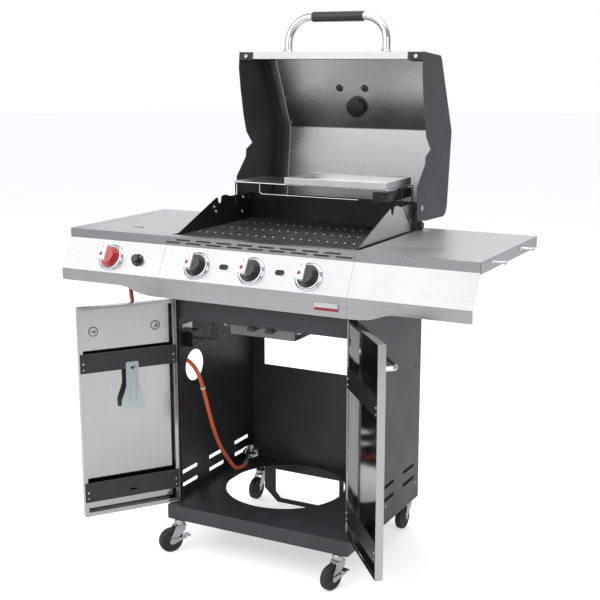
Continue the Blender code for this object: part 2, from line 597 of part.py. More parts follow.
# ---- shelves, side burner and control panels
def make_shelves(root):
    front = FACE_TOP[0] + 0.006
    low_z = SHELF_TOP - SHELF_SKIRT
    left = add("left_shelf", cube_mesh((-SHELF_HALF, front, low_z), (-WING_INNER, SHELF_BACK, SHELF_TOP),
                                       skip=(0, 0, -1)), root, STAINLESS)
    thicken(left, 0.0015)
    lid_low, lid_high = -0.630, -0.352
    near, far = 0.1315, 0.4985
    cut(left, cube_mesh((lid_low - 0.002, near - 0.002, 0.97), (lid_high + 0.002, far + 0.002, 1.0)))
    right = add("right_shelf", cube_mesh((WING_INNER, front, low_z), (SHELF_HALF, SHELF_BACK, SHELF_TOP),
                                         skip=(0, 0, -1)), root, STAINLESS)
    thicken(right, 0.0015)
    for y in (0.122, 0.373):
        join(right, rod_mesh((SHELF_HALF - 0.001, y, 0.975), (0.7055, y, 0.975), 0.0028, 10))
        join(right, rod_mesh((0.7045, y, 0.975), (0.7105, y, 0.975), 0.0055, 12, 0.004))

    pivot = empty("side_lid_hinge", ((lid_low + lid_high) / 2, far, SHELF_TOP - 0.0015), root)
    half = (lid_high - lid_low) / 2
    notch = arc((0, near - far), 0.024, 180, 0, 8)
    notch = [(x, near - far + (y - near + far) * 0.6) for x, y in notch]
    shape = [(-half, near - far), *notch, (half, near - far), (half, 0), (-half, 0)]
    add("side_burner_lid", plate_mesh([shape], 0.0, 0.0015, "z"), pivot, STAINLESS)

    pan = add("side_burner", cube_mesh((lid_low + 0.012, near + 0.015, 0.932),
                                       (lid_high - 0.012, far - 0.028, 0.980), skip=(0, 0, 1)), root, IRON)
    thicken(pan, 0.0012)
    middle = ((lid_low + lid_high) / 2, (near + far) / 2)
    join(pan, rod_mesh((*middle, 0.9325), (*middle, 0.948), 0.018, 16))
    join(pan, rod_mesh((*middle, 0.947), (*middle, 0.960), 0.036, 20, 0.032))


def face_point(up, out=0.0):
    """A point on the slanted control face, a share of the way up it and a distance out of it."""
    rise = Vector(FACE_TOP) - Vector(FACE_LOW)
    normal = Vector((-rise.y, rise.x)).normalized()
    return Vector(FACE_LOW) + rise * up + normal * out, normal


def make_fascias(root):
    flange_end = {"left": 0.0344, "middle": 0.0600, "right": 0.0344}
    spans = {"left": (-SHELF_HALF, -WING_INNER + 0.0002), "middle": (-0.3102, 0.3102),
             "right": (WING_INNER - 0.0002, SHELF_HALF)}
    stops = [*KNOBS.values(), BUTTON_X]
    for name, (low, high) in spans.items():
        profile = [(flange_end[name], SHELF_TOP), (FACE_TOP[0], SHELF_TOP), FACE_TOP, FACE_LOW,
                   (-0.0187, 0.8082), (0.004, 0.8082)]
        if name != "middle":
            profile.pop()
        front = add("fascia_" + name, sheet_mesh(profile, low, high), root, STAINLESS)
        thicken(front, 0.0015, 1.0)
        for x in stops:
            if low < x < high:
                radius = 0.012 if x == BUTTON_X else 0.0062
                (a, b), (c, d) = face_point(KNOB_UP, -0.01)[0], face_point(KNOB_UP, 0.01)[0]
                cut(front, rod_mesh((x, a, b), (x, c, d), radius, 16))
        if name != "middle":
            side = -1 if name == "left" else 1
            step = [(0.68, 0.80), (0.68, 0.832), (0.447, 0.832), (0.425, 0.8285), (0.40, 0.8195),
                    (0.378, 0.8125), (0.35, 0.8092), (0.31, 0.8080), (0.30, 0.80)]
            shape = [(side * x, z) for x, z in step]
            cut(front, plate_mesh([shape], -0.05, 0.02, "y"))

    for name, x in KNOBS.items():
        (y, z), normal = face_point(KNOB_UP, 0.001)
        turn = Vector((0, 0, 1)).rotation_difference(Vector((0, *normal))).to_euler()
        knob_axis = empty(name + "_axis", (x, y, z), root, [math.degrees(a) for a in turn])
        top = KNOB_HEIGHT
        profile = [(0.0, top), (0.0245, top), (0.027, top - 0.003), (0.0285, 0.016), (KNOB_RADIUS, 0.004),
                   (KNOB_RADIUS, 0.0), (0.0052, 0.0), (0.0052, -0.012), (0.0, -0.012)]
        look = RED if name == "side_burner_knob" else PLASTIC
        turned(name, profile, knob_axis, look, sides=18)
    (y, z), normal = face_point(KNOB_UP, 0.0)
    turn = Vector((0, 0, 1)).rotation_difference(Vector((0, *normal))).to_euler()
    press = empty("igniter_axis", (BUTTON_X, y, z), root, [math.degrees(a) for a in turn])
    profile = [(0.0, 0.0165), (0.0095, 0.016), (0.0113, 0.0135), (0.0113, -0.010), (0.0, -0.010)]
    turned("igniter_button", profile, press, PLASTIC, sides=20)


def make_gas_train(root):
    (y, z), normal = face_point(KNOB_UP, MANIFOLD_DEPTH)
    rail = add("gas_manifold", rod_mesh((-0.5445, y, z), (0.215, y, z), 0.0095, 14), root, ZINC)
    for x in KNOBS.values():
        (near_y, near_z), _ = face_point(KNOB_UP, -0.0215)
        join(rail, rod_mesh((x, y, z), (x, near_y, near_z), 0.0105, 12))
    start = Vector(HOSE_ROUTE[0])
    join(rail, rod_mesh((start.x, y - 0.004, z), (start.x, start.y + 0.009, z), 0.0088, 12))
    join(rail, rod_mesh((start.x, start.y, z), (start.x, start.y, start.z + GAP), 0.0083, 6))
    route = smooth_line(HOSE_ROUTE, 0.02)
    tube("gas_hose", route, HOSE_RADIUS, root, ORANGE, 2)
    lean = Matrix.Rotation(math.radians(15), 3, "X")
    along = (route[-1] - route[-2]).normalized()
    disc = [(0.0, 0.0335), (0.0125, 0.0335), (0.0125, 0.018), (0.009, 0.016), (0.009, 0.0125),
            (0.022, 0.0115), (0.030, 0.005), (0.030, -0.005), (0.024, -0.011), (0.0, -0.012)]
    centre = route[-1] + along * (REGULATOR_NECK + GAP)
    body = turned("regulator", disc, root, ZINC, centre, lean.to_euler(), 20)
    inward = lean.inverted() @ along
    join(body, rod_mesh(tuple(inward * -0.018), tuple(inward * -REGULATOR_NECK), 0.0072, 12))
    left = -CART_HALF + SHEET + GAP
    add("igniter_box", cube_mesh((left, 0.100, 0.632), (-0.272, 0.152, 0.677)), root, PLASTIC)


def centre_on_origin(root):
    """Moves the whole grill so that its box stands centred on the origin."""
    bpy.context.view_layer.update()
    seen = bpy.context.evaluated_depsgraph_get()
    corners = []
    for thing in parts.objects:
        if thing.type != "EMPTY" and thing.name not in ("gas_hose", "regulator"):
            whole = thing.evaluated_get(seen)
            mesh = whole.to_mesh()
            corners += [whole.matrix_world @ v.co for v in mesh.vertices]
            whole.to_mesh_clear()
    for axis in (0, 1):
        span = [c[axis] for c in corners]
        root.location[axis] -= (min(span) + max(span)) / 2
    root.location.z -= min(c.z for c in corners)
    bpy.context.view_layer.update()


def main():
    root = empty("grill", (0, 0, 0))
    make_cart(root)
    make_grease_tray(root)
    make_casters(root)
    make_doors(root)
    make_firebox(root)
    make_rack(root)
    make_lid(root)
    make_shelves(root)
    make_fascias(root)
    make_gas_train(root)
    centre_on_origin(root)


main()
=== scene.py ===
import json
import math
import bpy
import bmesh
from mathutils import Euler, Matrix, Vector


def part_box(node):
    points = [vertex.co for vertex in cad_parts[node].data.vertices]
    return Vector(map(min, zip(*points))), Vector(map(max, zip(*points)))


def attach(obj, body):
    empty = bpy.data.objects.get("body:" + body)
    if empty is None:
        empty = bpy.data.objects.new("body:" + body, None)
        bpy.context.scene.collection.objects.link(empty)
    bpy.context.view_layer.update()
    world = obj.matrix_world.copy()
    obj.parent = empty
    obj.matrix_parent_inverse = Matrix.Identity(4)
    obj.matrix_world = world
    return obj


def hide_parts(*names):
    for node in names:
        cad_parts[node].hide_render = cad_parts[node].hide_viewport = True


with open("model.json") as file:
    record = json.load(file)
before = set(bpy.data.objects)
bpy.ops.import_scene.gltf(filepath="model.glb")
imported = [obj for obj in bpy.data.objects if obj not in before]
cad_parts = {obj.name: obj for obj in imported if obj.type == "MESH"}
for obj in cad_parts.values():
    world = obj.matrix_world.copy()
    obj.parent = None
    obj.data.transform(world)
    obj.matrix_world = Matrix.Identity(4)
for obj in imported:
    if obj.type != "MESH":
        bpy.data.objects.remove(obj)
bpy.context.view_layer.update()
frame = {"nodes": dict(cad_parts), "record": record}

scene = bpy.context.scene
linkObject = scene.collection.objects.link
print("frame loaded:", len(frame["nodes"]), "nodes")

# Everything below is drawn in the cart's own frame: X to the right, Y to the back from the
# front edge of the bottom shelf, Z up from the floor.
cartLow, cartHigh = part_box("base_tray")
shift = Vector(((cartLow.x + cartHigh.x) / 2, cartLow.y, 0))


def placeAt(origin, turn=(0, 0, 0)):
    angles = [math.radians(a) for a in turn]
    return Matrix.Translation(shift + Vector(origin)) @ Euler(angles).to_matrix().to_4x4()


hinges = {"lid": (0.49, 1.055), "lidOpen": -96.6, "doorX": 0.2985, "doorY": 0.0375,
    "doorOpen": {"left": -125.7, "right": 130.5}}
panelFace = {"top": (0.0287, 0.9591), "low": (-0.0216, 0.8684), "knobUp": 0.46}
knobPlaces = {"side_burner_knob": -0.497, "left_knob": -0.188, "centre_knob": -0.003, "right_knob": 0.182}

cartPlace = placeAt((0, 0, 0))
lidPlace = placeAt((0, *hinges["lid"]), (hinges["lidOpen"], 0, 0))
doorPlace = {side: placeAt((sign * hinges["doorX"], hinges["doorY"], 0),
    (0, 0, hinges["doorOpen"][side])) for side, sign in (("left", -1), ("right", 1))}


def facePlace(x, up=panelFace["knobUp"]):
    (topY, topZ), (lowY, lowZ) = panelFace["top"], panelFace["low"]
    tilt = 90 - math.degrees(math.atan2(topY - lowY, topZ - lowZ))
    y, z = lowY + (topY - lowY) * up, lowZ + (topZ - lowZ) * up
    return placeAt((x, y, z), (tilt, 0, 0))


# camera and picture settings
view = {"place": (1.6151, -2.7542, 1.5052), "pitch": 12.096, "heading": 27.792, "lens": 68.27,
    "shift": (-0.004, 0.0032)}
camData = bpy.data.cameras.new("camera")
camData.lens = view["lens"]
camData.sensor_width = 36
camData.shift_x, camData.shift_y = view["shift"]
camera = bpy.data.objects.new("camera", camData)
camera.matrix_world = placeAt(view["place"], (90 - view["pitch"], 0, view["heading"]))
linkObject(camera)
scene.camera = camera
scene.view_settings.view_transform = "Standard"
scene.view_settings.look = "None"


# mesh helpers
def addBlock(bm, low, high, place=None):
    low, high = Vector(low), Vector(high)
    made = bmesh.ops.create_cube(bm, size=1)["verts"]
    middle, size = (low + high) / 2, high - low
    for v in made:
        v.co = middle + Vector(v.co[i] * size[i] for i in range(3))
    if place:
        bmesh.ops.transform(bm, matrix=place, verts=made)
    return made


def addTurned(bm, profile, sides=32, place=None):
    # The profile runs from the top of the outer side down, as (radius, height) pairs round Z.
    rings = []
    for radius, height in profile:
        if radius < 1e-6:
            rings.append([bm.verts.new((0, 0, height))])
        else:
            rings.append([bm.verts.new((radius * math.cos(math.tau * i / sides),
                radius * math.sin(math.tau * i / sides), height)) for i in range(sides)])
    for upper, lower in zip(rings, rings[1:]):
        for i in range(sides):
            j = (i + 1) % sides
            corners = [upper[i % len(upper)], lower[i % len(lower)], lower[j % len(lower)],
                upper[j % len(upper)]]
            corners = list(dict.fromkeys(corners))
            if len(corners) > 2:
                bm.faces.new(corners)
    made = [v for ring in rings for v in ring]
    if place:
        bmesh.ops.transform(bm, matrix=place, verts=made)
    return made


def addPrism(bm, outline, low, high, plane="z", place=None):
    spots = {"z": lambda a, b, h: (a, b, h), "y": lambda a, b, h: (a, h, b), "x": lambda a, b,
        h: (h, a, b)}[plane]
    lower = [bm.verts.new(spots(a, b, low)) for a, b in outline]
    upper = [bm.verts.new(spots(a, b, high)) for a, b in outline]
    bm.faces.new(lower)
    bm.faces.new(upper)
    for i in range(len(outline)):
        j = (i + 1) % len(outline)
        bm.faces.new((lower[i], lower[j], upper[j], upper[i]))
    if place:
        bmesh.ops.transform(bm, matrix=place, verts=lower + upper)
    return lower + upper


def along(start, end):
    run = Vector(end) - Vector(start)
    turn = Vector((0, 0, 1)).rotation_difference(run).to_matrix().to_4x4()
    return Matrix.Translation(start) @ turn, run.length


def pill(length, width, steps=6):
    flat = (length - width) / 2
    spots = []
    for middle, first in ((flat, -90), (-flat, 90)):
        for i in range(steps + 1):
            t = math.radians(first + 180 * i / steps)
            spots.append((middle + math.cos(t) * width / 2, math.sin(t) * width / 2))
    return spots


def smoothShape(piece, bevel=0.0, weld=False, crisp=38):
    for face in piece.data.polygons:
        face.use_smooth = True
    if weld:
        join = piece.modifiers.new("join corners", "WELD")
        join.merge_threshold = 0.00001
    if bevel:
        edge = piece.modifiers.new("soft edges", "BEVEL")
        edge.width = bevel
        edge.segments = 2
        edge.limit_method = "ANGLE"
        edge.angle_limit = math.radians(crisp)
    normals = piece.modifiers.new("even shading", "WEIGHTED_NORMAL")
    normals.weight = 80


def makePiece(name, bm, body, look, place=cartPlace, bevel=0.0, slot=None):
    bmesh.ops.remove_doubles(bm, verts=bm.verts, dist=0.00001)
    bmesh.ops.recalc_face_normals(bm, faces=bm.faces)
    bmesh.ops.transform(bm, matrix=place, verts=bm.verts)
    mesh = bpy.data.meshes.new(name)
    bm.to_mesh(mesh)
    bm.free()
    piece = bpy.data.objects.new(name, mesh)
    linkObject(piece)
    mesh.materials.append(looks[look])
    smoothShape(piece, bevel)
    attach(piece, body)
    return piece


def turnedPiece(name, profile, sides, *about, at=None, **settings):
    bm = bmesh.new()
    addTurned(bm, profile, sides, at)
    return makePiece(name, bm, *about, **settings)


def blockPiece(name, blocks, *about, **settings):
    bm = bmesh.new()
    for low, high in blocks:
        addBlock(bm, low, high)
    return makePiece(name, bm, *about, **settings)


def makeWire(name, runs, radius, body, look, place=cartPlace, smooth=False):
    curve = bpy.data.curves.new(name, "CURVE")
    curve.dimensions = "3D"
    curve.bevel_depth = radius
    curve.bevel_resolution = 3
    curve.use_fill_caps = True
    for run in runs:
        spline = curve.splines.new("BEZIER" if smooth else "POLY")
        if smooth:
            spline.bezier_points.add(len(run) - 1)
            for point, spot in zip(spline.bezier_points, run):
                point.co = spot
                point.handle_left_type = point.handle_right_type = "AUTO"
            spline.resolution_u = 8
        else:
            spline.points.add(len(run) - 1)
            for point, spot in zip(spline.points, run):
                point.co = (*spot, 1)
            spline.use_smooth = True
    curve.transform(place)
    piece = bpy.data.objects.new(name, curve)
    linkObject(piece)
    curve.materials.append(looks[look])
    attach(piece, body)
    return piece


# shader groups shared by several finishes
def startGroup(name, inputs, outputs):
    group = bpy.data.node_groups.new(name, "ShaderNodeTree")
    for label, kind, value in inputs:
        socket = group.interface.new_socket(label, in_out="INPUT", socket_type=kind)
        socket.default_value = value
    for label in outputs:
        group.interface.new_socket(label, in_out="OUTPUT", socket_type="NodeSocketFloat")
    return group, group.nodes.new("NodeGroupInput"), group.nodes.new("NodeGroupOutput")


def addNode(tree, kind, settings=None, **inputs):
    node = tree.nodes.new(kind)
    for key, value in (settings or {}).items():
        setattr(node, key, value)
    for key, value in inputs.items():
        socket = node.inputs[int(key[1:]) if key[0] == "i" and key[1:].isdigit() else key.replace("_",
            " ")]
        if isinstance(value, bpy.types.NodeSocket):
            tree.links.new(value, socket)
        else:
            socket.default_value = value
    return node


def mathNode(tree, operation, a, b, clamp=False):
    return addNode(tree, "ShaderNodeMath", {"operation": operation, "use_clamp": clamp}, i0=a,
        i1=b).outputs[0]


def noiseNode(tree, vector, scale, detail=3.0, rough=0.55):
    return addNode(tree, "ShaderNodeTexNoise", Vector=vector, Scale=scale, Detail=detail,
        Roughness=rough).outputs["Fac"]


def rangeNode(tree, value, low, high):
    return addNode(tree, "ShaderNodeMapRange", Value=value, From_Min=0.3, From_Max=0.7, To_Min=low,
        To_Max=high).outputs["Result"]


def makeGrainGroup():
    group, given, result = startGroup("brushed grain", [("Stretch", "NodeSocketVector", (1, 60, 60)),
        ("Fineness", "NodeSocketFloat", 30.0)], ["Grain", "Streak", "Smudge"])
    spot = addNode(group, "ShaderNodeTexCoord").outputs["Object"]
    pulled = addNode(group, "ShaderNodeVectorMath", {"operation": "MULTIPLY"}, i0=spot,
        i1=given.outputs["Stretch"]).outputs[0]
    fine = noiseNode(group, pulled, given.outputs["Fineness"], 4.0, 0.7)
    wide = noiseNode(group, pulled, mathNode(group, "MULTIPLY", given.outputs["Fineness"], 0.12), 2.0)
    for label, value in (("Grain", fine), ("Streak", wide), ("Smudge", noiseNode(group, spot, 5.5, 4.0))):
        group.links.new(value, result.inputs[label])
    return group


def makeSpeckleGroup():
    group, given, result = startGroup("speckled coat", [("Fineness", "NodeSocketFloat", 900.0),
        ("Cloud", "NodeSocketFloat", 7.0)], ["Speckle", "Cloud"])
    spot = addNode(group, "ShaderNodeTexCoord").outputs["Object"]
    group.links.new(noiseNode(group, spot, given.outputs["Fineness"], 2.0), result.inputs["Speckle"])
    group.links.new(noiseNode(group, spot, given.outputs["Cloud"], 5.0), result.inputs["Cloud"])
    return group


def makeWearGroup():
    # How much of the edge is worn: where the softened normal leaves the true one, broken up by noise.
    group, given, result = startGroup("edge wear", [("Width", "NodeSocketFloat", 0.0015),
        ("Amount", "NodeSocketFloat", 1.0)], ["Wear"])
    soft = addNode(group, "ShaderNodeBevel", {"samples": 4},
        Radius=given.outputs["Width"]).outputs["Normal"]
    true = addNode(group, "ShaderNodeNewGeometry").outputs["Normal"]
    facing = addNode(group, "ShaderNodeVectorMath", {"operation": "DOT_PRODUCT"}, i0=soft,
        i1=true).outputs["Value"]
    edge = mathNode(group, "MULTIPLY", mathNode(group, "SUBTRACT", 1.0, facing), 6.0, clamp=True)
    spot = addNode(group, "ShaderNodeTexCoord").outputs["Object"]
    chips = rangeNode(group, noiseNode(group, spot, 45.0, 6.0, 0.7), 0.0, 1.0)
    wear = mathNode(group, "MULTIPLY", mathNode(group, "MULTIPLY", edge, chips), given.outputs["Amount"])
    group.links.new(wear, result.inputs["Wear"])
    return group


groups = {"grain": makeGrainGroup(), "speckle": makeSpeckleGroup(), "wear": makeWearGroup()}


def startLook(name, **fixed):
    look = bpy.data.materials.new(name)
    look.use_nodes = True
    shader = look.node_tree.nodes["Principled BSDF"]
    for key, value in fixed.items():
        shader.inputs[key.replace("_", " ")].default_value = value
    return look, look.node_tree, shader


def useGroup(tree, key, **inputs):
    return addNode(tree, "ShaderNodeGroup", {"node_tree": groups[key]}, **inputs).outputs


def mixColour(tree, fac, first, second):
    node = tree.nodes.new("ShaderNodeMix")
    node.data_type = "RGBA"
    for index, value in ((0, fac), (6, first), (7, second)):
        if isinstance(value, bpy.types.NodeSocket):
            tree.links.new(value, node.inputs[index])
        else:
            node.inputs[index].default_value = value if index == 0 else (*value, 1)
    return node.outputs[2]


def bumpInto(tree, shader, height, strength, distance):
    bump = addNode(tree, "ShaderNodeBump", Strength=strength, Distance=distance, Height=height)
    tree.links.new(bump.outputs["Normal"], shader.inputs["Normal"])


def threeOf(tone):
    return (tone, tone, tone) if isinstance(tone, float) else tone


def brushedLook(name, stretch, dark, light, rough, fineness=30.0):
    dark, light = threeOf(dark), threeOf(light)
    look, tree, shader = startLook(name, Metallic=1.0)
    out = useGroup(tree, "grain", Stretch=stretch, Fineness=fineness)
    tone = mathNode(tree, "ADD", mathNode(tree, "MULTIPLY", out["Grain"], 0.6),
        mathNode(tree, "MULTIPLY", out["Streak"], 0.4))
    tree.links.new(mixColour(tree, rangeNode(tree, tone, 0, 1), dark, light), shader.inputs["Base Color"])
    sheen = mathNode(tree, "ADD", rangeNode(tree, tone, rough[0], rough[1]),
        mathNode(tree, "MULTIPLY", mathNode(tree, "SUBTRACT", out["Smudge"], 0.5), 0.22))
    tree.links.new(sheen, shader.inputs["Roughness"])
    bumpInto(tree, shader, out["Grain"], 0.06, 0.0002)
    return look


def coatLook(name, colour, worn, rough, fineness=900.0, wear=1.0, bump=0.25, metallic=0.0, **fixed):
    colour, worn = threeOf(colour), threeOf(worn)
    look, tree, shader = startLook(name, Metallic=metallic, **fixed)
    out = useGroup(tree, "speckle", Fineness=fineness)
    mask = useGroup(tree, "wear", Amount=wear)["Wear"]
    shade = mixColour(tree, rangeNode(tree, out["Cloud"], 0, 1), [c * 0.8 for c in colour],
        [c * 1.2 for c in colour])
    tree.links.new(mixColour(tree, mask, shade, worn), shader.inputs["Base Color"])
    sheen = mathNode(tree, "ADD", rangeNode(tree, out["Cloud"], rough[0], rough[1]),
        mathNode(tree, "MULTIPLY", mathNode(tree, "SUBTRACT", out["Speckle"], 0.5), 0.12))
    tree.links.new(sheen, shader.inputs["Roughness"])
    bumpInto(tree, shader, out["Speckle"], bump, 0.0004)
    return look


looks = {
    "stainlessAcross": brushedLook("stainless, brushed across", (1, 90, 90), (0.355, 0.355, 0.36), 0.42,
        (0.27, 0.34)),
    "stainlessSatin": brushedLook("stainless, satin shelf", (1, 70, 70), 0.53, (0.58, 0.58, 0.575),
        (0.36, 0.44)),
    "stainlessUpright": brushedLook("stainless, brushed upright", (90, 90, 1), (0.38, 0.38, 0.375),
        (0.43, 0.43, 0.42), (0.08, 0.13)),
    "trayMetal": coatLook("dull tray metal", 0.17, 0.4, (0.3, 0.44), 320.0, 0.6, 0.15, 1.0),
    "scraperSteel": coatLook("galvanised sheet", (0.4, 0.45, 0.46), (0.6, 0.62, 0.62), (0.34, 0.46),
        280.0, 0.6, 0.15, 0.35),
    "stainlessPlain": brushedLook("stainless, rolled", (8, 8, 8), (0.58, 0.58, 0.57), (0.66, 0.66, 0.65),
        (0.3, 0.42), 12.0),
    "greyPaint": coatLook("dark grey powder coat", (0.031, 0.033, 0.036), 0.16, (0.36, 0.5), wear=0.6),
    "blackEnamel": coatLook("black enamel", (0.01, 0.011, 0.012), 0.06, (0.26, 0.42), 600.0, 0.7),
    "castIron": coatLook("enamelled cast iron", (0.05, 0.051, 0.053), 0.1, (0.24, 0.4), 420.0, 0.5, 0.5),
    "chrome": coatLook("chrome plate", (0.6, 0.61, 0.62), 0.75, (0.05, 0.14), 240.0, 0.3, 0.03, 1.0),
    "zinc": coatLook("bright zinc plate", (0.46, 0.47, 0.48), 0.6, (0.22, 0.42), 320.0, 0.5, 0.15, 1.0),
    "rubber": coatLook("black rubber", (0.018, 0.018, 0.019), (0.1, 0.095, 0.09), (0.5, 0.72), 500.0,
        0.9, 0.35),
    "blackPlastic": coatLook("black moulded plastic", (0.016, 0.016, 0.017), 0.07, (0.28, 0.42), 1200.0,
        0.6, 0.12),
    "redPlastic": coatLook("gloss red plastic", (0.46, 0.012, 0.014), (0.65, 0.1, 0.08), (0.12, 0.2),
        1200.0, 0.4, 0.05, Coat_Weight=0.4),
    "whitePlastic": coatLook("white moulded plastic", 0.82, 0.6, (0.24, 0.34), 1400.0, 0.4, 0.06),
    "markRed": coatLook("dark red ink", (0.28, 0.01, 0.02), (0.4, 0.05, 0.05), (0.35, 0.5), wear=0.2,
        bump=0.05),
    "dial": coatLook("white dial enamel", (0.78, 0.78, 0.75), (0.6, 0.6, 0.58), (0.3, 0.4), wear=0.2,
        bump=0.05),
    # near-black used for printed ticks, and as painted shade: dark fills standing for the shadowed
    # insides of vent slots, flame windows, screw sockets and the finger cup
    "darkGap": coatLook("black ink and painted shade", 0.006, 0.02, (0.5, 0.7), wear=0.2),
    "hoseSkin": coatLook("orange hose rubber", (0.78, 0.135, 0.055), (0.74, 0.25, 0.14), (0.36, 0.52),
        260.0, 0.2, 0.2),
    "paleNylon": coatLook("pale nylon", (0.72, 0.72, 0.7), 0.8, (0.3, 0.45), wear=0.3, bump=0.1),
}
print("finishes ready:", len(looks))


# hose: from under the left shelf, through the side panel, to the regulator above the cabinet floor
hoseFacts = {"radius": 0.0067, "spacing": 0.008, "clipZ": 0.49,
        "route": [(-0.5445, 0.16, 0.8335), (-0.5445, 0.16, 0.808), (-0.544, 0.159, 0.784),
        (-0.536, 0.155, 0.74), (-0.518, 0.148, 0.694), (-0.486, 0.14, 0.65), (-0.444, 0.136, 0.616),
        (-0.398, 0.134, 0.597), (-0.352, 0.135, 0.587), (-0.316, 0.138, 0.575), (-0.291, 0.142, 0.551),
        (-0.277, 0.148, 0.516), (-0.271, 0.159, 0.47), (-0.27, 0.176, 0.42), (-0.27, 0.197, 0.366),
        (-0.27, 0.223, 0.309), (-0.269, 0.255, 0.255), (-0.267, 0.292, 0.208), (-0.267, 0.326, 0.172),
        (-0.266, 0.356, 0.1565), (-0.265, 0.3818, 0.1545), (-0.2645, 0.3933, 0.1568),
        (-0.264, 0.403, 0.1633), (-0.264, 0.4072, 0.1675)]}


def smoothRoute(points, spacing):
    fine = []
    ends = [points[0], *points, points[-1]]
    for a, b, c, d in zip(ends, ends[1:], ends[2:], ends[3:]):
        a, b, c, d = Vector(a), Vector(b), Vector(c), Vector(d)
        for i in range(12):
            t = i / 12
            fine.append(0.5 * (2 * b + (c - a) * t + (2 * a - 5 * b + 4 * c - d) * t * t
                + (3 * b - a - 3 * c + d) * t ** 3))
    fine.append(Vector(points[-1]))
    total = sum((q - p).length for p, q in zip(fine, fine[1:]))
    count = round(total / spacing)
    out, run, goal = [fine[0]], 0.0, 1
    for p, q in zip(fine, fine[1:]):
        step = (q - p).length
        while goal < count and run + step >= total * goal / count:
            out.append(p.lerp(q, (total * goal / count - run) / step))
            goal += 1
        run += step
    return out + [fine[-1]]


def makeHose():
    route = smoothRoute(hoseFacts["route"], hoseFacts["spacing"])
    radius = hoseFacts["radius"]
    hose = makeWire("hose", [route], radius, "root", "hoseSkin")
    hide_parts("gas_hose")

    bm = bmesh.new()
    for index, back in ((0, 1), (-1, -2)):
        place, _ = along(route[index], route[back])
        ring = [(radius + 0.0004, 0.017), (radius + 0.0012, 0.0165)]
        for step in range(5):
            height = 0.0155 - step * 0.003
            ring += [(radius + 0.0014, height), (radius + 0.0008, height - 0.0015)]
        ring += [(radius + 0.0004, 0.0004)]
        addTurned(bm, ring, 28, place)
    collars = makePiece("hose_ferrules", bm, "root", "zinc")

    clipAt = min(range(len(route)),
        key=lambda i: abs(route[i].z - hoseFacts["clipZ"]) + (route[i].y < 0.13))
    place, _ = along(route[clipAt], route[clipAt + 1])
    bm = bmesh.new()
    addTurned(bm, [(radius + 0.0002, 0.006), (radius + 0.0016, 0.0055), (radius + 0.0016, 0.0005),
        (radius + 0.0002, 0)], 24, place)
    addBlock(bm, (radius, -0.003, 0.0008), (radius + 0.006, 0.003, 0.0052), place)
    clip = makePiece("hose_clip", bm, "root", "paleNylon", bevel=0.0003)


makeHose()


regulatorShape = {"neck": 0.0363, "lean": 15, "thread": (0.0125, 0.0182, 0.0333), "turns": 7}


def makeRegulatorDetails():
    coarse = smoothRoute(hoseFacts["route"], 0.02)
    run = (coarse[-1] - coarse[-2]).normalized()
    place = placeAt(coarse[-1] + run * regulatorShape["neck"], (regulatorShape["lean"], 0, 0))
    radius, low, high = regulatorShape["thread"]
    bm = bmesh.new()
    ridges = [(radius + 0.0001, high)]
    step = (high - low) / regulatorShape["turns"]
    for i in range(regulatorShape["turns"]):
        top = high - i * step
        ridges += [(radius + 0.0009, top - step * 0.35), (radius + 0.0001, top - step * 0.9)]
    addTurned(bm, ridges, 36)
    makePiece("regulator_thread", bm, "root", "chrome", place, slot="zinc")
    bm = bmesh.new()
    for i in range(6):
        t = math.tau * i / 6
        addTurned(bm, [(0, 0.0022), (0.0022, 0.002), (0.0026, 0.0008), (0.0026, -0.001)], 14,
            Matrix.Translation((0.0185 * math.cos(t), 0.0185 * math.sin(t), 0.0115)))
    makePiece("regulator_rivets", bm, "root", "zinc", place)


makeRegulatorDetails()
print("gas train ready")


# screws and washers, shared by many pieces
def addScrew(bm, place, head=0.0042, tall=0.0024, washer=0.0):
    top = 0.0
    if washer:
        addTurned(bm, [(head * 0.6, 0.0012), (washer - 0.0003, 0.0012), (washer, 0.0009), (washer, 0)],
            24, place)
        top = 0.0012
    addTurned(bm, [(head * 0.42, top + tall * 0.55), (head * 0.45, top + tall),
        (head * 0.72, top + tall * 0.86), (head, top + tall * 0.35), (head, top)], 22, place)
    addTurned(bm, [(0, top + tall * 0.55), (head * 0.42, top + tall * 0.55)], 6, place)


def spun(angle):
    return Matrix.Rotation(angle, 4, "Z")


def facing(origin, direction):
    turn = Vector((0, 0, 1)).rotation_difference(Vector(direction)).to_matrix().to_4x4()
    return Matrix.Translation(origin) @ turn


# cooking grates
grateShape = {"low": 0.9735, "top": 0.985, "near": 0.0665, "far": 0.5168, "inner": 0.0008,
    "outer": 0.2953, "ribs": 21, "ribWidth": 0.0074, "rows": (0.172, 0.292, 0.412), "rim": 0.008}


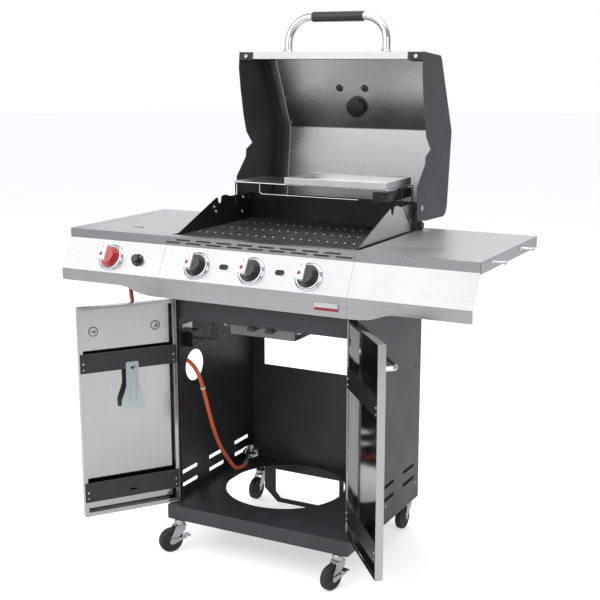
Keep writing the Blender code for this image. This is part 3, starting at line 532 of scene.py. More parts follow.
def makeGrates():
    g = grateShape
    for side, sign in (("left", -1), ("right", 1)):
        bm, nubs = bmesh.new(), bmesh.new()
        low, high = sorted((sign * g["inner"], sign * g["outer"]))
        pitch = (high - low - g["ribWidth"]) / (g["ribs"] - 1)
        for i in range(g["ribs"]):
            x = low + g["ribWidth"] / 2 + i * pitch
            half = g["ribWidth"] / 2
            section = [(x - half * 0.55, g["low"]), (x + half * 0.55, g["low"]),
                (x + half, g["top"] - 0.0045), (x + half * 0.7, g["top"] - 0.0009),
                (x + half * 0.3, g["top"]), (x - half * 0.3, g["top"]),
                (x - half * 0.7, g["top"] - 0.0009), (x - half, g["top"] - 0.0045)]
            addPrism(bm, section, g["near"] + 0.001, g["far"] - 0.001, "y")
        for y in (g["near"] + g["rim"] / 2, g["far"] - g["rim"] / 2):
            addBlock(bm, (low, y - g["rim"] / 2, g["low"]), (high, y + g["rim"] / 2, g["top"] - 0.003))
        for row, y in enumerate(g["rows"]):
            addBlock(bm, (low, y - 0.004, g["low"] + 0.0004), (high, y + 0.004, g["top"] - 0.004))
            for i in range(row % 2, g["ribs"] - 1, 2):
                x = low + g["ribWidth"] / 2 + (i + 0.5) * pitch
                addTurned(nubs, [(0, 0.0006), (0.0026, 0.0004), (0.004, -0.0012), (0.004, -0.0035)], 12,
                    Matrix.Translation((x, y, g["top"] - 0.0008)))
        grate = makePiece("cooking_grate_" + side + "_ribbed", bm, "root", "castIron", bevel=0.0004)
        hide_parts("cooking_grate_" + side)
        makePiece("cooking_grate_" + side + "_nubs", nubs, "root", "zinc")


makeGrates()


# warming rack: a welded wire shelf with a guard wire, legs, a plate and an end bracket
rackShape = {"left": -0.242, "right": 0.288, "near": 0.303, "far": 0.495, "top": 1.1255, "rim": 0.0025,
    "wire": 0.0017, "count": 26, "legY": (0.389, 0.473), "foot": 1.0735, "solidTo": -0.075}


def makeRack():
    r = rackShape
    left, right, near, far, z = r["left"], r["right"] - r["rim"], r["near"] + r["rim"], r["far"] - r[
        "rim"], r["top"]
    corner = 0.014
    loop = []
    for cx, cy, first in ((right - corner, far - corner, 0), (left + corner, far - corner, 90),
            (left + corner, near + corner, 180), (right - corner, near + corner, 270)):
        loop += [(cx + corner * math.cos(math.radians(first + 15 * i)),
            cy + corner * math.sin(math.radians(first + 15 * i)), z) for i in range(7)]
    makeWire("rack_frame_wire", [loop + [loop[0]]], r["rim"], "root", "chrome")
    step = (right - left - 0.016) / (r["count"] - 1)
    xs = [left + 0.008 + i * step for i in range(r["count"])]
    grid = [[(x, near, z), (x, far, z)] for x in xs]
    grid += [[(left, y, z - 0.0034), (right, y, z - 0.0034)] for y in (near + 0.055, far - 0.055)]
    rack = makeWire("rack_grid_wires", grid, r["wire"], "root", "chrome")
    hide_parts("warming_rack")
    guard = [(-0.148, near + 0.001, z - 0.002), (-0.148, near - 0.0005, z - 0.026),
        (-0.141, near, z - 0.033), (0.02, near, z - 0.033), (0.19, near, z - 0.033)]
    makeWire("rack_guard_wire", [guard], r["wire"], "root", "chrome")
    legs = [[(left + 0.002, y, z), (left - 0.001, y, z - 0.01), (left - 0.001, y,
        r["foot"] - 0.02)] for y in (near + corner, far - corner)]
    x = right + 0.0095
    legs += [[(right - 0.001, y, z), (x, y, z - 0.001), (x, y, r["foot"])] for y in r["legY"]]
    makeWire("rack_legs", legs, r["rim"] * 0.9, "root", "blackEnamel")
    blockPiece("rack_plate", [((left + 0.001, near + 0.001, z + 0.0014),
        (r["solidTo"], far - 0.001, z + 0.0024))], "root", "stainlessAcross", bevel=0.0003)
    bm = bmesh.new()
    for y0, y1 in ((near + 0.002, near + 0.009), (far - 0.009, far - 0.002)):
        addBlock(bm, (right - 0.05, y0, z - 0.036), (right - 0.001, y1, z - 0.007))
    addBlock(bm, (right - 0.006, near + 0.002, z - 0.036), (right - 0.001, far - 0.002, z - 0.007))
    makePiece("rack_end_bracket", bm, "root", "blackEnamel", bevel=0.0008)


makeRack()
trayShape = {"low": (-0.056, 0.297), "high": (0.283, 0.487), "top": 1.1472}


def makeTrayRim():
    (x0, y0), (x1, y1), z = trayShape["low"], trayShape["high"], trayShape["top"]
    inset = 0.0012
    run = [(x0 + inset, y0 + inset, z), (x1 - inset, y0 + inset, z), (x1 - inset, y1 - inset, z),
        (x0 + inset, y1 - inset, z), (x0 + inset, y0 + inset, z)]
    makeWire("roasting_tray_rim", [run], 0.0012, "root", "stainlessPlain")


makeTrayRim()
print("cooking surface ready")


# control panel
knobShape = {"bezel": 0.0425, "radius": 0.03, "groove": 0.0008, "tall": 0.0325, "pointer": 0.0345}


def halfDisc(radius, side, gap, sides=22):
    spots = []
    for i in range(sides + 1):
        t = math.radians(90 + side * 180 * i / sides)
        spots.append((radius * math.cos(t), radius * math.sin(t)))
    return [(min(a, -gap) if side > 0 else max(a, gap), b) for a, b in spots]


def makeKnobs():
    k = knobShape
    for name, x in knobPlaces.items():
        place = facePlace(x)
        body = name + "_body"
        plastic = "redPlastic" if name == "side_burner_knob" else "blackPlastic"
        turnedPiece(name + "_bezel", [(0.0325, 0.0006), (0.0328, 0.0062), (0.0348, 0.0072),
            (k["bezel"] - 0.003, 0.0048), (k["bezel"], 0.0016), (k["bezel"], 0.0002)], 56, "root",
            "chrome", place)
        skirt = turnedPiece(name + "_skirt", [(0, 0.0115), (0.03, 0.0115), (0.0314, 0.0105),
            (0.0317, 0.0062), (0.0317, 0.0014), (0, 0.0014)], 56, body, plastic, place)
        turnedPiece(name + "_ring", [(0.031, 0.0062), (0.032, 0.0058), (0.032, 0.003), (0.031, 0.0026)],
            56, body, "chrome", place)
        bm = bmesh.new()
        outline = [(-k["groove"], 0.0325), (-0.0105, 0.0318), (-0.0215, 0.0235), (-0.0285, 0.012),
            (-0.0295, -0.002), (-0.027, -0.013), (-0.018, -0.0165), (-k["groove"], -0.0165)]
        addPrism(bm, outline, 0.0117, k["pointer"])
        makePiece(name + "_pointer", bm, body, "whitePlastic", place, bevel=0.0012)
        bm = bmesh.new()
        outline = halfDisc(k["radius"] - 0.0012, -1, k["groove"])
        made = addPrism(bm, outline, 0.0117, k["tall"] - 0.003)
        for v in made:
            if v.co.z > 0.02:
                v.co.x = k["groove"] + (v.co.x - k["groove"]) * 0.86
                v.co.y *= 0.93
        makePiece(name + "_grip", bm, body, plastic, place, bevel=0.0014)
        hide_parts(name)
        bm = bmesh.new()
        flame = [(-0.0155, -0.0065), (-0.01, -0.004), (-0.009, 0.001), (-0.0125, 0.0045),
            (-0.0135, 0.0095), (-0.0185, 0.004), (-0.0205, -0.001), (-0.0195, -0.005)]
        addPrism(bm, flame, k["pointer"], k["pointer"] + 0.0002)
        makePiece(name + "_flame", bm, body, "markRed", place)
        blockPiece(name + "_tick", [((-0.014, 0.019, k["pointer"]),
            (-0.0118, 0.027, k["pointer"] + 0.0002))], body, "darkGap", place)


makeKnobs()
buttonShape = {"x": -0.398, "windowX": (-0.0955, 0.0895), "windowUp": 0.5}
ventShape = {"rows": ((8, 0.9778), (9, 0.969)), "pitch": 0.0705}
plateShape = {"left": 0.212, "right": 0.284, "low": 0.8255, "high": 0.8465, "bandTo": 0.8335}


def makePanelDetails():
    place = facePlace(buttonShape["x"])
    turnedPiece("igniter_collar", [(0.0148, 0.0012), (0.0156, 0.005), (0.0192, 0.0044), (0.02, 0.0016),
        (0.02, 0.0002)], 8, "root", "blackPlastic", place)
    cap = turnedPiece("igniter_cap", [(0, 0.0202), (0.008, 0.0202), (0.0122, 0.0196), (0.0136, 0.0178),
        (0.0138, 0.014), (0.0138, 0.0052), (0.0108, 0.005), (0.0108, -0.009), (0, -0.009)], 8,
        "igniter_button_body", "blackPlastic", place, bevel=0.0012)
    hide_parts("igniter_button")

    bm = bmesh.new()
    # the panes are dark fills: painted shade standing for the dark burner space seen through the flame
    # windows
    windowShade = bmesh.new()
    for x in buttonShape["windowX"]:
        local = shiftless(facePlace(x, buttonShape["windowUp"]))
        addPrism(windowShade, pill(0.0305, 0.0165), 0.0002, 0.0011, place=local)
        addRing(bm, pill(0.034, 0.0198), pill(0.031, 0.0168), 0.0002, 0.0016, local)
    makePiece("flame_window_rims", bm, "root", "chrome", bevel=0.0004)
    makePiece("flame_window_shade", windowShade, "root", "darkGap")

    # two staggered rows of vent slots in the trim above the knobs, drawn as thin dark inlays: painted
    # shade for the shadowed slot openings
    bm = bmesh.new()
    top = panelFace["top"]
    for count, z in ventShape["rows"]:
        for i in range(count):
            x = (i - (count - 1) / 2) * ventShape["pitch"] - 0.004
            outline = [(x + a, z + b) for a, b in pill(0.05, 0.004)]
            addPrism(bm, outline, top[0] - 0.0019, top[0] - 0.0002, "y")
    makePiece("trim_vent_slot_shade", bm, "root", "darkGap")

    # blank plate at the lower right of the middle panel
    p = plateShape
    blockPiece("blank_plate", [((p["left"], -0.0228, p["low"]), (p["right"], -0.0214, p["high"]))],
        "root", "stainlessPlain", bevel=0.0005)
    blockPiece("blank_plate_band", [((p["left"], -0.0231, p["low"]),
        (p["right"], -0.0229, p["bandTo"]))], "root", "markRed")


def shiftless(place):
    return Matrix.Translation(-shift) @ place


def addRing(bm, outer, inner, low, high, place):
    rings = [[bm.verts.new((a, b, h)) for a, b in line] for line,
        h in ((outer, low), (outer, high), (inner, high), (inner, low))]
    for first, second in zip(rings, rings[1:] + rings[:1]):
        for i in range(len(outer)):
            j = (i + 1) % len(outer)
            bm.faces.new((first[i], first[j], second[j], second[i]))
    bmesh.ops.transform(bm, matrix=place, verts=[v for ring in rings for v in ring])


makePanelDetails()
print("control panel ready")


# lid
lidShape = {"half": 0.2675, "handleFoot": 0.1713, "handleZ": -0.006, "faceY": -0.4674, "linerTo": 0.29,
    "liner": ((0.035, 1.1452), (0.2437, 1.2697), (0.4838, 1.2716)), "bumperX": 0.294,
    "gauge": (0.1733, 1.2287), "plugX": (-0.052, 0.039), "rivetX": 0.2605, "boltX": 0.3196,
    "back": (0.4842, 1.2724), "facet": ((0.0311, 1.1439), (0.2434, 1.2705))}


def lidPoint(y, z):
    return y - hinges["lid"][0], z - hinges["lid"][1]


def makeLidDetails():
    lid = lidShape

    def lidPiece(name, bm, look, bevel=0.0):
        makePiece(name, bm, "lid", look, lidPlace, bevel)

    (ay, az), (by, bz) = lid["facet"]
    slope = Vector((0, by - ay, bz - az)).normalized()
    inward = Vector((0, slope.z, -slope.y))

    def onFacet(x, share, out=0.0):
        y, z = lidPoint(ay + (by - ay) * share, az + (bz - az) * share)
        return Vector((x, y, z)) + inward * out

    # corner blocks with a round bumper each, at the front edge of the end caps
    blocks, bumpers, pins = bmesh.new(), bmesh.new(), bmesh.new()
    for sign in (-1, 1):
        y0, z0 = lidPoint(0.0265, 0.9935)
        x0, x1 = sorted((sign * 0.2715, sign * 0.3165))
        addBlock(blocks, (x0, y0, z0 - 0.0022), (x1, y0 + 0.024, z0 + 0.03))
        spot = facing((sign * lid["bumperX"], y0 + 0.012, z0 - 0.0026), (0, 0, -1))
        addTurned(bumpers, [(0.0025, -0.0022), (0.0035, 0.0012), (0.0092, 0.0012), (0.0102, 0.0002),
            (0.0102, -0.004)], 30, spot)
        addScrew(pins, spot @ Matrix.Translation((0, 0, 0.0008)), 0.0062, 0.002)
    lidPiece("lid_corner_blocks", blocks, "rubber", bevel=0.0012)
    lidPiece("lid_bumpers", bumpers, "rubber")
    lidPiece("lid_bumper_screws", pins, "zinc")

    # handle: flanges outside, two plugs inside where its screws come through
    flanges, plugs = bmesh.new(), bmesh.new()
    for sign in (-1, 1):
        x = sign * lid["handleFoot"]
        place = facing((x, lid["faceY"] - 0.0022, lid["handleZ"]), (0, -1, 0))
        addTurned(flanges, [(0.0127, 0.007), (0.015, 0.0066), (0.0172, 0.003), (0.0176, 0.0004)], 36,
            place)
    lidPiece("lid_handle_flanges", flanges, "chrome")
    for x in lid["plugX"]:
        place = facing(onFacet(x, 0.405, 0.0006), inward)
        addTurned(plugs, [(0, 0.0034), (0.009, 0.0032), (0.0125, 0.0018), (0.013, 0.0)], 26, place)
    lidPiece("lid_plugs", plugs, "blackPlastic")

    # liner strips that carry the inner skin out over the end caps' bands
    strips = bmesh.new()
    skin = lid["liner"]
    ahead = [(Vector(b) - Vector(a)).normalized() for a, b in zip(skin, skin[1:])]
    sides = [Vector((d.y, -d.x)) for d in ahead]
    mitres = [sides[0], (sides[0] + sides[1]) / (1 + sides[0].dot(sides[1])), sides[1]]
    faces = [[lidPoint(*(Vector(p) + m * depth)) for p, m in zip(skin, mitres)] for depth in (0.0019,
        0.0027)]
    for sign in (-1, 1):
        x0, x1 = sorted((sign * 0.2672, sign * lid["linerTo"]))
        addPrism(strips, faces[0] + faces[1][::-1], x0, x1, "x")
    lidPiece("lid_liner_strips", strips, "stainlessAcross")

    # rivets that hold the middle sheet to the end caps
    rivets = bmesh.new()
    top, back = lidPoint(by, bz), lidPoint(*lid["back"])
    for sign in (-1, 1):
        x = sign * lid["rivetX"]
        for share in (0.12, 0.55, 0.93):
            addScrew(rivets, facing(onFacet(x, share, 0.0006), inward), 0.0034, 0.002)
        for share in (0.35, 0.8):
            y = top[0] + (back[0] - top[0]) * share
            addScrew(rivets, facing((x, y, top[1] - 0.0012), (0, 0, -1)), 0.0034, 0.002)
    lidPiece("lid_rivets", rivets, "zinc")

    # folded bead across the inside where the two facets meet
    bead = [(-lid["half"] + 0.002, top[0], top[1] - 0.0016), (lid["half"] - 0.002, top[0],
        top[1] - 0.0016)]
    makeWire("lid_fold_bead", [bead], 0.001, "lid", "stainlessAcross", lidPlace)

    # back of the heat gauge: a vented black cup with dark inlays of painted shade for its vent openings,
    # and outside it the dial with its needle
    gaugeY, gaugeZ = lidPoint(*lid["gauge"])
    inner = facing((0, gaugeY, gaugeZ), inward)
    outer = facing((0, gaugeY, gaugeZ), -inward)
    turnedPiece("gauge_cup", [(0, 0.0226), (0.0075, 0.0226), (0.0085, 0.0218), (0.0285, 0.0218),
        (0.0325, 0.018), (0.0329, 0.0125), (0.0329, 0.003)], 44, "lid", "blackPlastic", lidPlace,
        at=inner)
    # painted shade: thin dark wedges on the cup standing for its shadowed vent openings
    ventShade = bmesh.new()
    for i in range(12):
        spin = spun(math.tau * i / 12)
        addPrism(ventShade, [(0.0105, -0.0011), (0.0235, -0.0022), (0.0235, 0.0022), (0.0105, 0.0011)],
            0.0219, 0.0222, place=inner @ spin)
    lidPiece("gauge_vent_shade", ventShade, "darkGap")
    face, ticks, needle = bmesh.new(), bmesh.new(), bmesh.new()
    addTurned(face, [(0, 0.0144), (0.0325, 0.0144), (0.0325, 0.014)], 48, outer)
    lidPiece("gauge_dial", face, "dial")
    for i in range(25):
        spin = outer @ spun(math.radians(-135 + 270 * i / 24))
        reach = 0.0235 if i % 4 == 0 else 0.0265
        addPrism(ticks, [(-0.0004, reach), (0.0004, reach), (0.0004, 0.0305), (-0.0004, 0.0305)], 0.0145,
            0.0147, place=spin)
    lidPiece("gauge_ticks", ticks, "darkGap")
    spin = outer @ spun(math.radians(132))
    addPrism(needle, [(-0.0012, -0.007), (0.0012, -0.007), (0.0003, 0.024), (-0.0003, 0.024)], 0.015,
        0.0154, place=spin)
    addTurned(needle, [(0, 0.0166), (0.0024, 0.0162), (0.003, 0.015)], 20, outer)
    lidPiece("gauge_needle", needle, "markRed")
    turnedPiece("gauge_bezel", [(0.0318, 0.015), (0.033, 0.0158), (0.0352, 0.0156), (0.0368, 0.0138),
        (0.0369, 0.011)], 56, "lid", "chrome", lidPlace, at=outer)

    # hinge bolts
    bolts = bmesh.new()
    for sign in (-1, 1):
        place = facing((sign * lid["boltX"], 0, 0), (sign, 0, 0))
        addTurned(bolts, [(0.0052, 0.0013), (0.0088, 0.0012), (0.0091, 0.0002)], 30, place)
        addTurned(bolts, [(0, 0.0042), (0.0045, 0.0042), (0.0056, 0.0034), (0.0057, 0.0013)], 6, place)
    lidPiece("lid_hinge_bolts", bolts, "zinc")


makeLidDetails()
print("lid ready")


# doors: folded lips, handle fixings, standoffs, bar screws, and painted shade round the handle screws
doorShape = {"low": 0.15, "high": 0.795, "lip": 0.01, "handleZ": 0.717, "feet": (0.0515, 0.2435),
    "edge": 0.3035, "free": 0.0015, "barZ": (0.626, 0.2255)}


def makeDoorDetails():
    d = doorShape
    for side, sign in (("left", -1), ("right", 1)):
        place, body = doorPlace[side], side + "_door_body"
        pivotX = sign * hinges["doorX"]
        x0, x1 = sorted((sign * d["edge"] - pivotX, sign * d["free"] - pivotX))
        sheet, z0, z1, lip = 0.0012, d["low"], d["high"], d["lip"]
        bm = bmesh.new()
        y0, y1 = 0.0074, 0.0084
        addBlock(bm, (x0 + sheet, y0, z0 + sheet), (x0 + sheet + lip, y1, z1 - sheet))
        addBlock(bm, (x1 - sheet - lip, y0, z0 + sheet), (x1 - sheet, y1, z1 - sheet))
        addBlock(bm, (x0 + sheet + lip, y0, z0 + sheet), (x1 - sheet - lip, y1, z0 + sheet + lip))
        addBlock(bm, (x0 + sheet + lip, y0, z1 - sheet - lip), (x1 - sheet - lip, y1, z1 - sheet))
        makePiece(side + "_door_lips", bm, body, "stainlessUpright", place, bevel=0.0003)

        screws, posts, standoffs, screwShade = bmesh.new(), bmesh.new(), bmesh.new(), bmesh.new()
        for foot in d["feet"]:
            x = sign * foot - pivotX
            inside = facing((x, -0.0098, d["handleZ"]), (0, 1, 0))
            addScrew(screws, inside, 0.0072, 0.0034, washer=0.0125)
            # painted shade: a dark dome in each screw head's socket and a dark ring round the washer on
            # the door
            addTurned(screwShade, [(0, 0.0037), (0.0044, 0.0036), (0.0046, 0.002)], 20, inside)
            addTurned(screwShade, [(0.0127, 0.0007), (0.0146, 0.0006), (0.0148, 0.0001), (0.0127, 0.0001)],
                32, inside)
            out = facing((x, -0.0112, d["handleZ"]), (0, -1, 0))
            addTurned(standoffs, [(0.0082, 0.0052), (0.0108, 0.0048), (0.0122, 0.001), (0.0122, 0.0001)],
                32, out)
        for z in d["barZ"]:
            for x in (x0 + 0.011, x1 - 0.011):
                addScrew(posts, facing((x, 0.0109, z), (0, 1, 0)), 0.0034, 0.002)
                addScrew(posts, facing((x, 0.0109, z - 0.018), (0, 1, 0)), 0.0026, 0.0016)
        makePiece(side + "_handle_fixings", screws, body, "zinc", place)
        makePiece(side + "_handle_standoffs", standoffs, body, "blackPlastic", place)
        makePiece(side + "_handle_screw_shade", screwShade, body, "darkGap", place)
        makePiece(side + "_bar_screws", posts, body, "zinc", place)


makeDoorDetails()


# grate scraper hung on the left door, stamped with a groove and toothed along its lower edge
scraperShape = {"low": 0.468, "high": 0.618, "from": 0.107, "to": 0.179, "teeth": 9, "face": 0.0128,
    "pegX": 0.143, "pegZ": 0.6}


def makeScraper():
    s = scraperShape
    start = -(doorShape["edge"] - hinges["doorX"])
    teeth = []
    left, right = s["from"] + 0.004, s["to"] - 0.003
    step = (right - left) / s["teeth"]
    for i in range(s["teeth"]):
        a = left + i * step
        teeth += [(a, s["low"]), (a + step * 0.45, s["low"]), (a + step * 0.55, s["low"] + 0.0045),
            (a + step * 0.9, s["low"] + 0.0045)]
    outline = teeth + [(right, s["low"]), (s["to"], 0.474), (s["to"], 0.5), (0.169, 0.526),
        (0.163, 0.545), (0.163, 0.612), (0.16, 0.618), (0.126, 0.618), (0.123, 0.612), (0.123, 0.545),
        (0.117, 0.526), (s["from"], 0.5), (s["from"], 0.474)]
    outline = [(start + a, b) for a, b in outline]
    bm = bmesh.new()
    addPrism(bm, outline, 0.0113, s["face"], "y")
    blade = makePiece("scraper_blade", bm, "left_door_body", "scraperSteel", doorPlace["left"],
        bevel=0.0004)
    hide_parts("grate_scraper")
    middle, face, pegZ = start + s["pegX"], s["face"], s["pegZ"]
    peg = facing((middle, face, pegZ), (0, 1, 0))
    ribs = [[(middle + dx, face, pegZ - 0.026), (middle + dx, face, 0.492)] for dx in (-0.01, 0.01)]
    ribs.append([(middle - 0.026, face, 0.486), (middle + 0.026, face, 0.486)])
    makeWire("scraper_ribs", ribs, 0.0011, "left_door_body", "zinc", doorPlace["left"])
    turnedPiece("scraper_eyelet", [(0.0062, 0.0006), (0.0072, 0.0012), (0.0092, 0.001), (0.01, 0.0)], 30,
        "left_door_body", "zinc", doorPlace["left"], at=peg)
    turnedPiece("scraper_peg", [(0, 0.003), (0.003, 0.0028), (0.0048, 0.0012), (0.0048, 0.0001)], 22,
        "left_door_body", "blackPlastic", doorPlace["left"], at=peg)


makeScraper()
print("doors ready")


# casters: hub caps, axle nuts and swivel races
casterShape = {"x": 0.275, "y": {"f": 0.012, "b": 0.52}, "turn": {"fl": -33, "fr": -17, "bl": 0,
    "br": 0}, "trail": 0.031, "radius": 0.038}


def makeCasterDetails():
    c = casterShape
    for key, turn in c["turn"].items():
        sign = -1 if key[1] == "l" else 1
        swivel = placeAt((sign * c["x"], c["y"][key[0]], 0), (0, 0, turn))
        axle = swivel @ Matrix.Translation((0, -c["trail"], c["radius"]))
        hubs = bmesh.new()
        for out in (-1, 1):
            addTurned(hubs, [(0.0042, 0.0124), (0.0068, 0.0124), (0.0122, 0.0118), (0.0136, 0.01),
                (0.015, 0.0092)], 30, facing((0, 0, 0), (out, 0, 0)))
            for i in range(5):
                spin = facing((0, 0, 0), (out, 0, 0)) @ spun(math.tau * i / 5)
                addPrism(hubs, [(0.0165, -0.0012), (0.0262, -0.001), (0.0262, 0.001), (0.0165, 0.0012)],
                    0.0088, 0.0102, place=spin)
        makePiece("wheel_hubs_" + key, hubs, "wheel_" + key, "blackPlastic", axle)
        nuts = bmesh.new()
        for out in (-1, 1):
            spot = facing((out * 0.0158, 0, 0), (out, 0, 0))
            addTurned(nuts, [(0, 0.003), (0.005, 0.003), (0.0062, 0.0022), (0.0062, 0.0)], 6, spot)
        makePiece("axle_nuts_" + key, nuts, "fork_" + key, "zinc", axle, bevel=0.0002)
        turnedPiece("swivel_race_" + key, [(0.012, 0.1006), (0.015, 0.0996), (0.0172, 0.0962),
            (0.0168, 0.0925), (0.0178, 0.0895), (0.0172, 0.085), (0.015, 0.0832)], 36, "fork_" + key,
            "zinc", swivel)


makeCasterDetails()


# cart: fixings, plugs, door stop, firebox skins and bolts, lid hinge feet, igniter leads
cartShape = {"half": 0.3104, "depth": 0.534, "floor": 0.147, "stopX": 0.022, "skinX": (0.2983, 0.2992)}


def makeCartDetails():
    half = cartShape["half"]
    screws = bmesh.new()
    for sign in (-1, 1):
        for y in (0.075, 0.267, 0.5):
            for z in (0.16, 0.8, 0.93):
                if sign > 0 or z < 0.9:
                    addScrew(screws, facing((sign * (half + 0.0001), y, z), (sign, 0, 0)), 0.0044, 0.0024)
    for x in (-0.285, -0.1, 0.1, 0.285):
        for z in (0.165, 0.82):
            addScrew(screws, facing((x, cartShape["depth"] - 0.0034, z), (0, 1, 0)), 0.0044, 0.0024)
    makePiece("panel_screws", screws, "root", "zinc")
    marks = bmesh.new()
    addPrism(marks, [(0.515 + a, 0.462 + b) for a, b in pill(0.03, 0.012)], half + 0.0001, half + 0.0008,
        "x")
    addTurned(marks, [(0, 0.0016), (0.004, 0.0012), (0.0052, 0.0001)], 20,
        facing((half, 0.493, 0.548), (1, 0, 0)))
    makePiece("panel_plugs", marks, "root", "blackPlastic", bevel=0.0002)
    stop = bmesh.new()
    wide, floor = cartShape["stopX"], cartShape["floor"]
    addBlock(stop, (-wide, 0.0275, floor + 0.0001), (wide, 0.051, floor + 0.0012))
    addBlock(stop, (-wide, 0.05, floor + 0.0001), (wide, 0.0512, floor + 0.011))
    makePiece("door_stop", stop, "root", "greyPaint", bevel=0.0004)
    catches = bmesh.new()
    for x in (-0.03, 0.03):
        addBlock(catches, (x - 0.013, 0.0425, 0.7215), (x + 0.013, 0.05, 0.7325))
    makePiece("door_magnets", catches, "root", "blackPlastic", bevel=0.0008)

    bolts = bmesh.new()
    for sign in (-1, 1):
        for y, z in ((0.455, 1.0575), (0.448, 1.012), (0.275, 1.045), (0.285, 1.03)):
            addScrew(bolts, facing((sign * 0.2963, y, z), (-sign, 0, 0)), 0.005, 0.0032, washer=0.0072)
    makePiece("firebox_bolts", bolts, "root", "zinc")

    # plain steel skins on the outside of the firebox cheeks
    for sign, side in ((-1, "left"), (1, "right")):
        skin = bmesh.new()
        outline = [(0.072, 0.9885), (0.292, 1.0725), (0.2985, 1.0725), (0.3035, 1.057), (0.311, 1.0515),
            (0.3185, 1.057), (0.3235, 1.075), (0.345, 1.077), (0.375, 1.0695), (0.508, 1.069),
            (0.512, 1.065), (0.512, 0.9885)]
        x0, x1 = sorted(sign * x for x in cartShape["skinX"])
        addPrism(skin, outline, x0, x1, "x")
        makePiece("firebox_skin_" + side, skin, "root", "stainlessPlain")
        welt = [[(sign * 0.3002, 0.393, 1.068), (sign * 0.3002, 0.465, 0.989)]]
        makeWire("firebox_welt_" + side, welt, 0.0011, "root", "blackEnamel")

    feet = bmesh.new()
    for sign in (-1, 1):
        x0, x1 = sorted((sign * 0.3003, sign * 0.315))
        addPrism(feet, [(0.466, 0.9876), (0.512, 0.9876), (0.508, 1.03), (0.5, 1.0465), (0.48, 1.0465),
            (0.472, 1.03)], x0, x1, "x")
        addTurned(feet, [(0, 0.01), (0.0105, 0.0095), (0.012, 0.007), (0.012, 0)], 24,
            facing((sign * 0.315, 0.49, 1.001), (sign, 0, 0)))
    makePiece("lid_hinge_feet", feet, "root", "blackEnamel", bevel=0.0008)

    tags = bmesh.new()
    for i in range(3):
        y = 0.11 + i * 0.014
        addBlock(tags, (-0.2718, y, 0.64), (-0.26, y + 0.0065, 0.6412))
        addBlock(tags, (-0.2718, y, 0.656), (-0.26, y + 0.0065, 0.6572))
    makePiece("igniter_terminals", tags, "root", "zinc", bevel=0.0002)
    leads = []
    for i in range(3):
        y = 0.113 + i * 0.014
        leads.append([(-0.262, y, 0.6566), (-0.245, y, 0.6566), (-0.228, y + 0.004, 0.662 - i * 0.006),
            (-0.214 + i * 0.006, 0.125, 0.69 + i * 0.01), (-0.222, 0.122, 0.745), (-0.24, 0.115, 0.8),
            (-0.25, 0.1, 0.85), (-0.255, 0.06, 0.88)])
    makeWire("igniter_leads", leads, 0.0017, "root", "blackPlastic", smooth=True)
    blockPiece("igniter_bracket", [((-0.308, 0.098, 0.6785), (-0.274, 0.154, 0.6798)),
        ((-0.3088, 0.098, 0.6785), (-0.3076, 0.154, 0.7))], "root", "zinc", bevel=0.0003)


makeCartDetails()


# shelves: tool pegs, and a dark block of painted shade in the side-burner lid's finger cup
shelfShape = {"half": 0.67, "pegY": (0.122, 0.373), "pegZ": 0.975, "pegTip": 0.7105}


def makeShelfDetails():
    s = shelfShape
    pegs = bmesh.new()
    for y in s["pegY"]:
        place = facing((s["half"] + 0.0004, y, s["pegZ"]), (1, 0, 0))
        tip = s["pegTip"] - s["half"] - 0.0006
        addTurned(pegs, [(0, tip), (0.0038, tip - 0.0003), (0.0056, tip - 0.0022),
            (0.0056, tip - 0.0046), (0.0034, tip - 0.0064), (0.0031, tip - 0.0085), (0.0031, 0.004),
            (0.0048, 0.003), (0.0072, 0.0012), (0.0074, 0.0)], 28, place)
    makePiece("tool_pegs", pegs, "root", "chrome")
    # painted shade: a dark block filling the finger cup's recess
    blockPiece("burner_lid_cup_shade", [((-0.517, 0.13, 0.97), (-0.465, 0.1462, 0.9846))], "root", "darkGap",
        bevel=0.001)


makeShelfDetails()


# carried-over parts: finish by material slot, softened edges
cadLook = {"stainless": "stainlessAcross", "grey_paint": "greyPaint", "black_enamel": "blackEnamel",
    "chrome": "chrome", "zinc": "zinc", "wheel_rubber": "rubber", "cast_iron": "castIron",
    "black_plastic": "blackPlastic", "red_plastic": "redPlastic", "orange_hose": "hoseSkin"}
cadException = {"left_door": "stainlessUpright", "right_door": "stainlessUpright",
    "roasting_tray": "stainlessPlain", "grease_tray": "trayMetal", "gas_manifold": "zinc",
    "regulator": "chrome", "left_shelf": "stainlessSatin", "right_shelf": "stainlessSatin",
    "side_burner_lid": "stainlessSatin"}
foldAngle = {"lid_panel": 8, "fascia_left": 8, "fascia_middle": 8, "fascia_right": 8, "firebox": 8}
for row in frame["record"]["subparts"]:
    name = row["node"]
    part = frame["nodes"][name]
    part.data.materials.clear()
    part.data.materials.append(looks[cadException.get(name, cadLook[row["material_slot"]])])
    smoothShape(part, 0.0004, weld=True, crisp=foldAngle.get(name, 38))
print("carried-over parts finished")


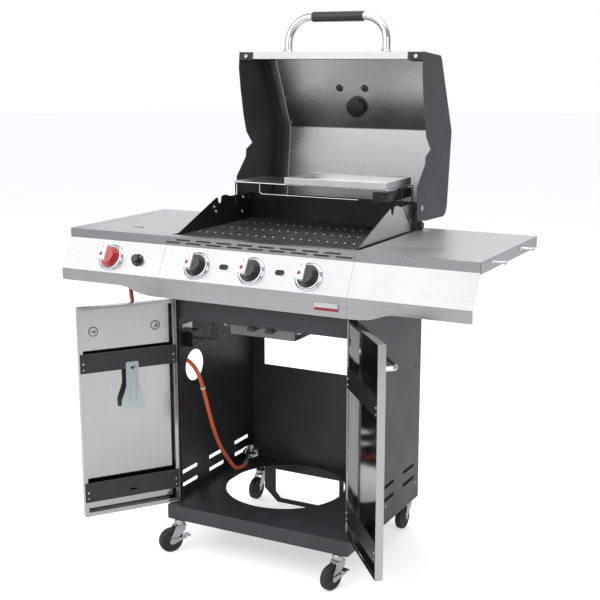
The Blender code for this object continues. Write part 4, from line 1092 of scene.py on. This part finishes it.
# floor and light
floorMesh = bmesh.new()
bmesh.ops.create_circle(floorMesh, cap_ends=True, segments=96, radius=30)
floorData = bpy.data.meshes.new("studio_floor")
floorMesh.to_mesh(floorData)
floorMesh.free()
floor = bpy.data.objects.new("studio_floor", floorData)
linkObject(floor)
look, tree, shader = startLook("pale floor")
cloud = noiseNode(tree, addNode(tree, "ShaderNodeTexCoord").outputs["Object"], 1.5, 3.0)
tree.links.new(mixColour(tree, cloud, (0.83, 0.83, 0.83), (0.87, 0.87, 0.87)),
    shader.inputs["Base Color"])
shader.inputs["Roughness"].default_value = 0.9
shader.inputs["Emission Color"].default_value = (1, 1, 1, 1)
glow = rangeNode(tree, addNode(tree, "ShaderNodeLightPath").outputs["Is Camera Ray"], 0.14, 0.5)
tree.links.new(glow, shader.inputs["Emission Strength"])
floorData.materials.append(look)

world = bpy.data.worlds.new("studio")
world.use_nodes = True
scene.world = world
studio = {"backdrop": 1.0, "zenith": (0.62, 0.64, 0.67), "horizon": (0.5, 0.51, 0.54), "strength": 0.9}


def makeWorld():
    tree = world.node_tree
    shade = tree.nodes["Background"]
    height = addNode(tree, "ShaderNodeSeparateXYZ", Vector=addNode(tree,
        "ShaderNodeTexCoord").outputs["Generated"])
    shadeOut = mixColour(tree, mathNode(tree, "MULTIPLY", height.outputs["Z"], 1.0, clamp=True),
        studio["horizon"], studio["zenith"])
    tree.links.new(shadeOut, shade.inputs["Color"])
    shade.inputs["Strength"].default_value = studio["strength"]
    plain = addNode(tree, "ShaderNodeBackground", Color=(1, 1, 1, 1), Strength=studio["backdrop"])
    seen = addNode(tree, "ShaderNodeLightPath").outputs["Is Camera Ray"]
    mixed = addNode(tree, "ShaderNodeMixShader", i0=seen, i1=shade.outputs[0], i2=plain.outputs[0])
    tree.links.new(mixed.outputs[0], tree.nodes["World Output"].inputs["Surface"])


makeWorld()

softboxes = {"key": ((-1.7, -2.7, 3.1), 6.0, 3.2, 128), "fill": ((2.9, -1.6, 2.0), 1.6, 1.6, 22),
    "top": ((0.4, 0.4, 3.6), 2.8, 2.2, 62), "back": ((-1.4, 4.0, 2.0), 4.4, 1.8, 16)}
for name, (place, wide, tall, power) in softboxes.items():
    data = bpy.data.lights.new(name, "AREA")
    data.shape = "RECTANGLE"
    data.size, data.size_y, data.energy = wide, tall, power
    lamp = bpy.data.objects.new(name, data)
    aim = Vector((0, 0, 0.8)) - Vector(place)
    lamp.location = place
    lamp.visible_camera = False
    lamp.rotation_euler = aim.to_track_quat("-Z", "Y").to_euler()
    linkObject(lamp)
print("studio ready")
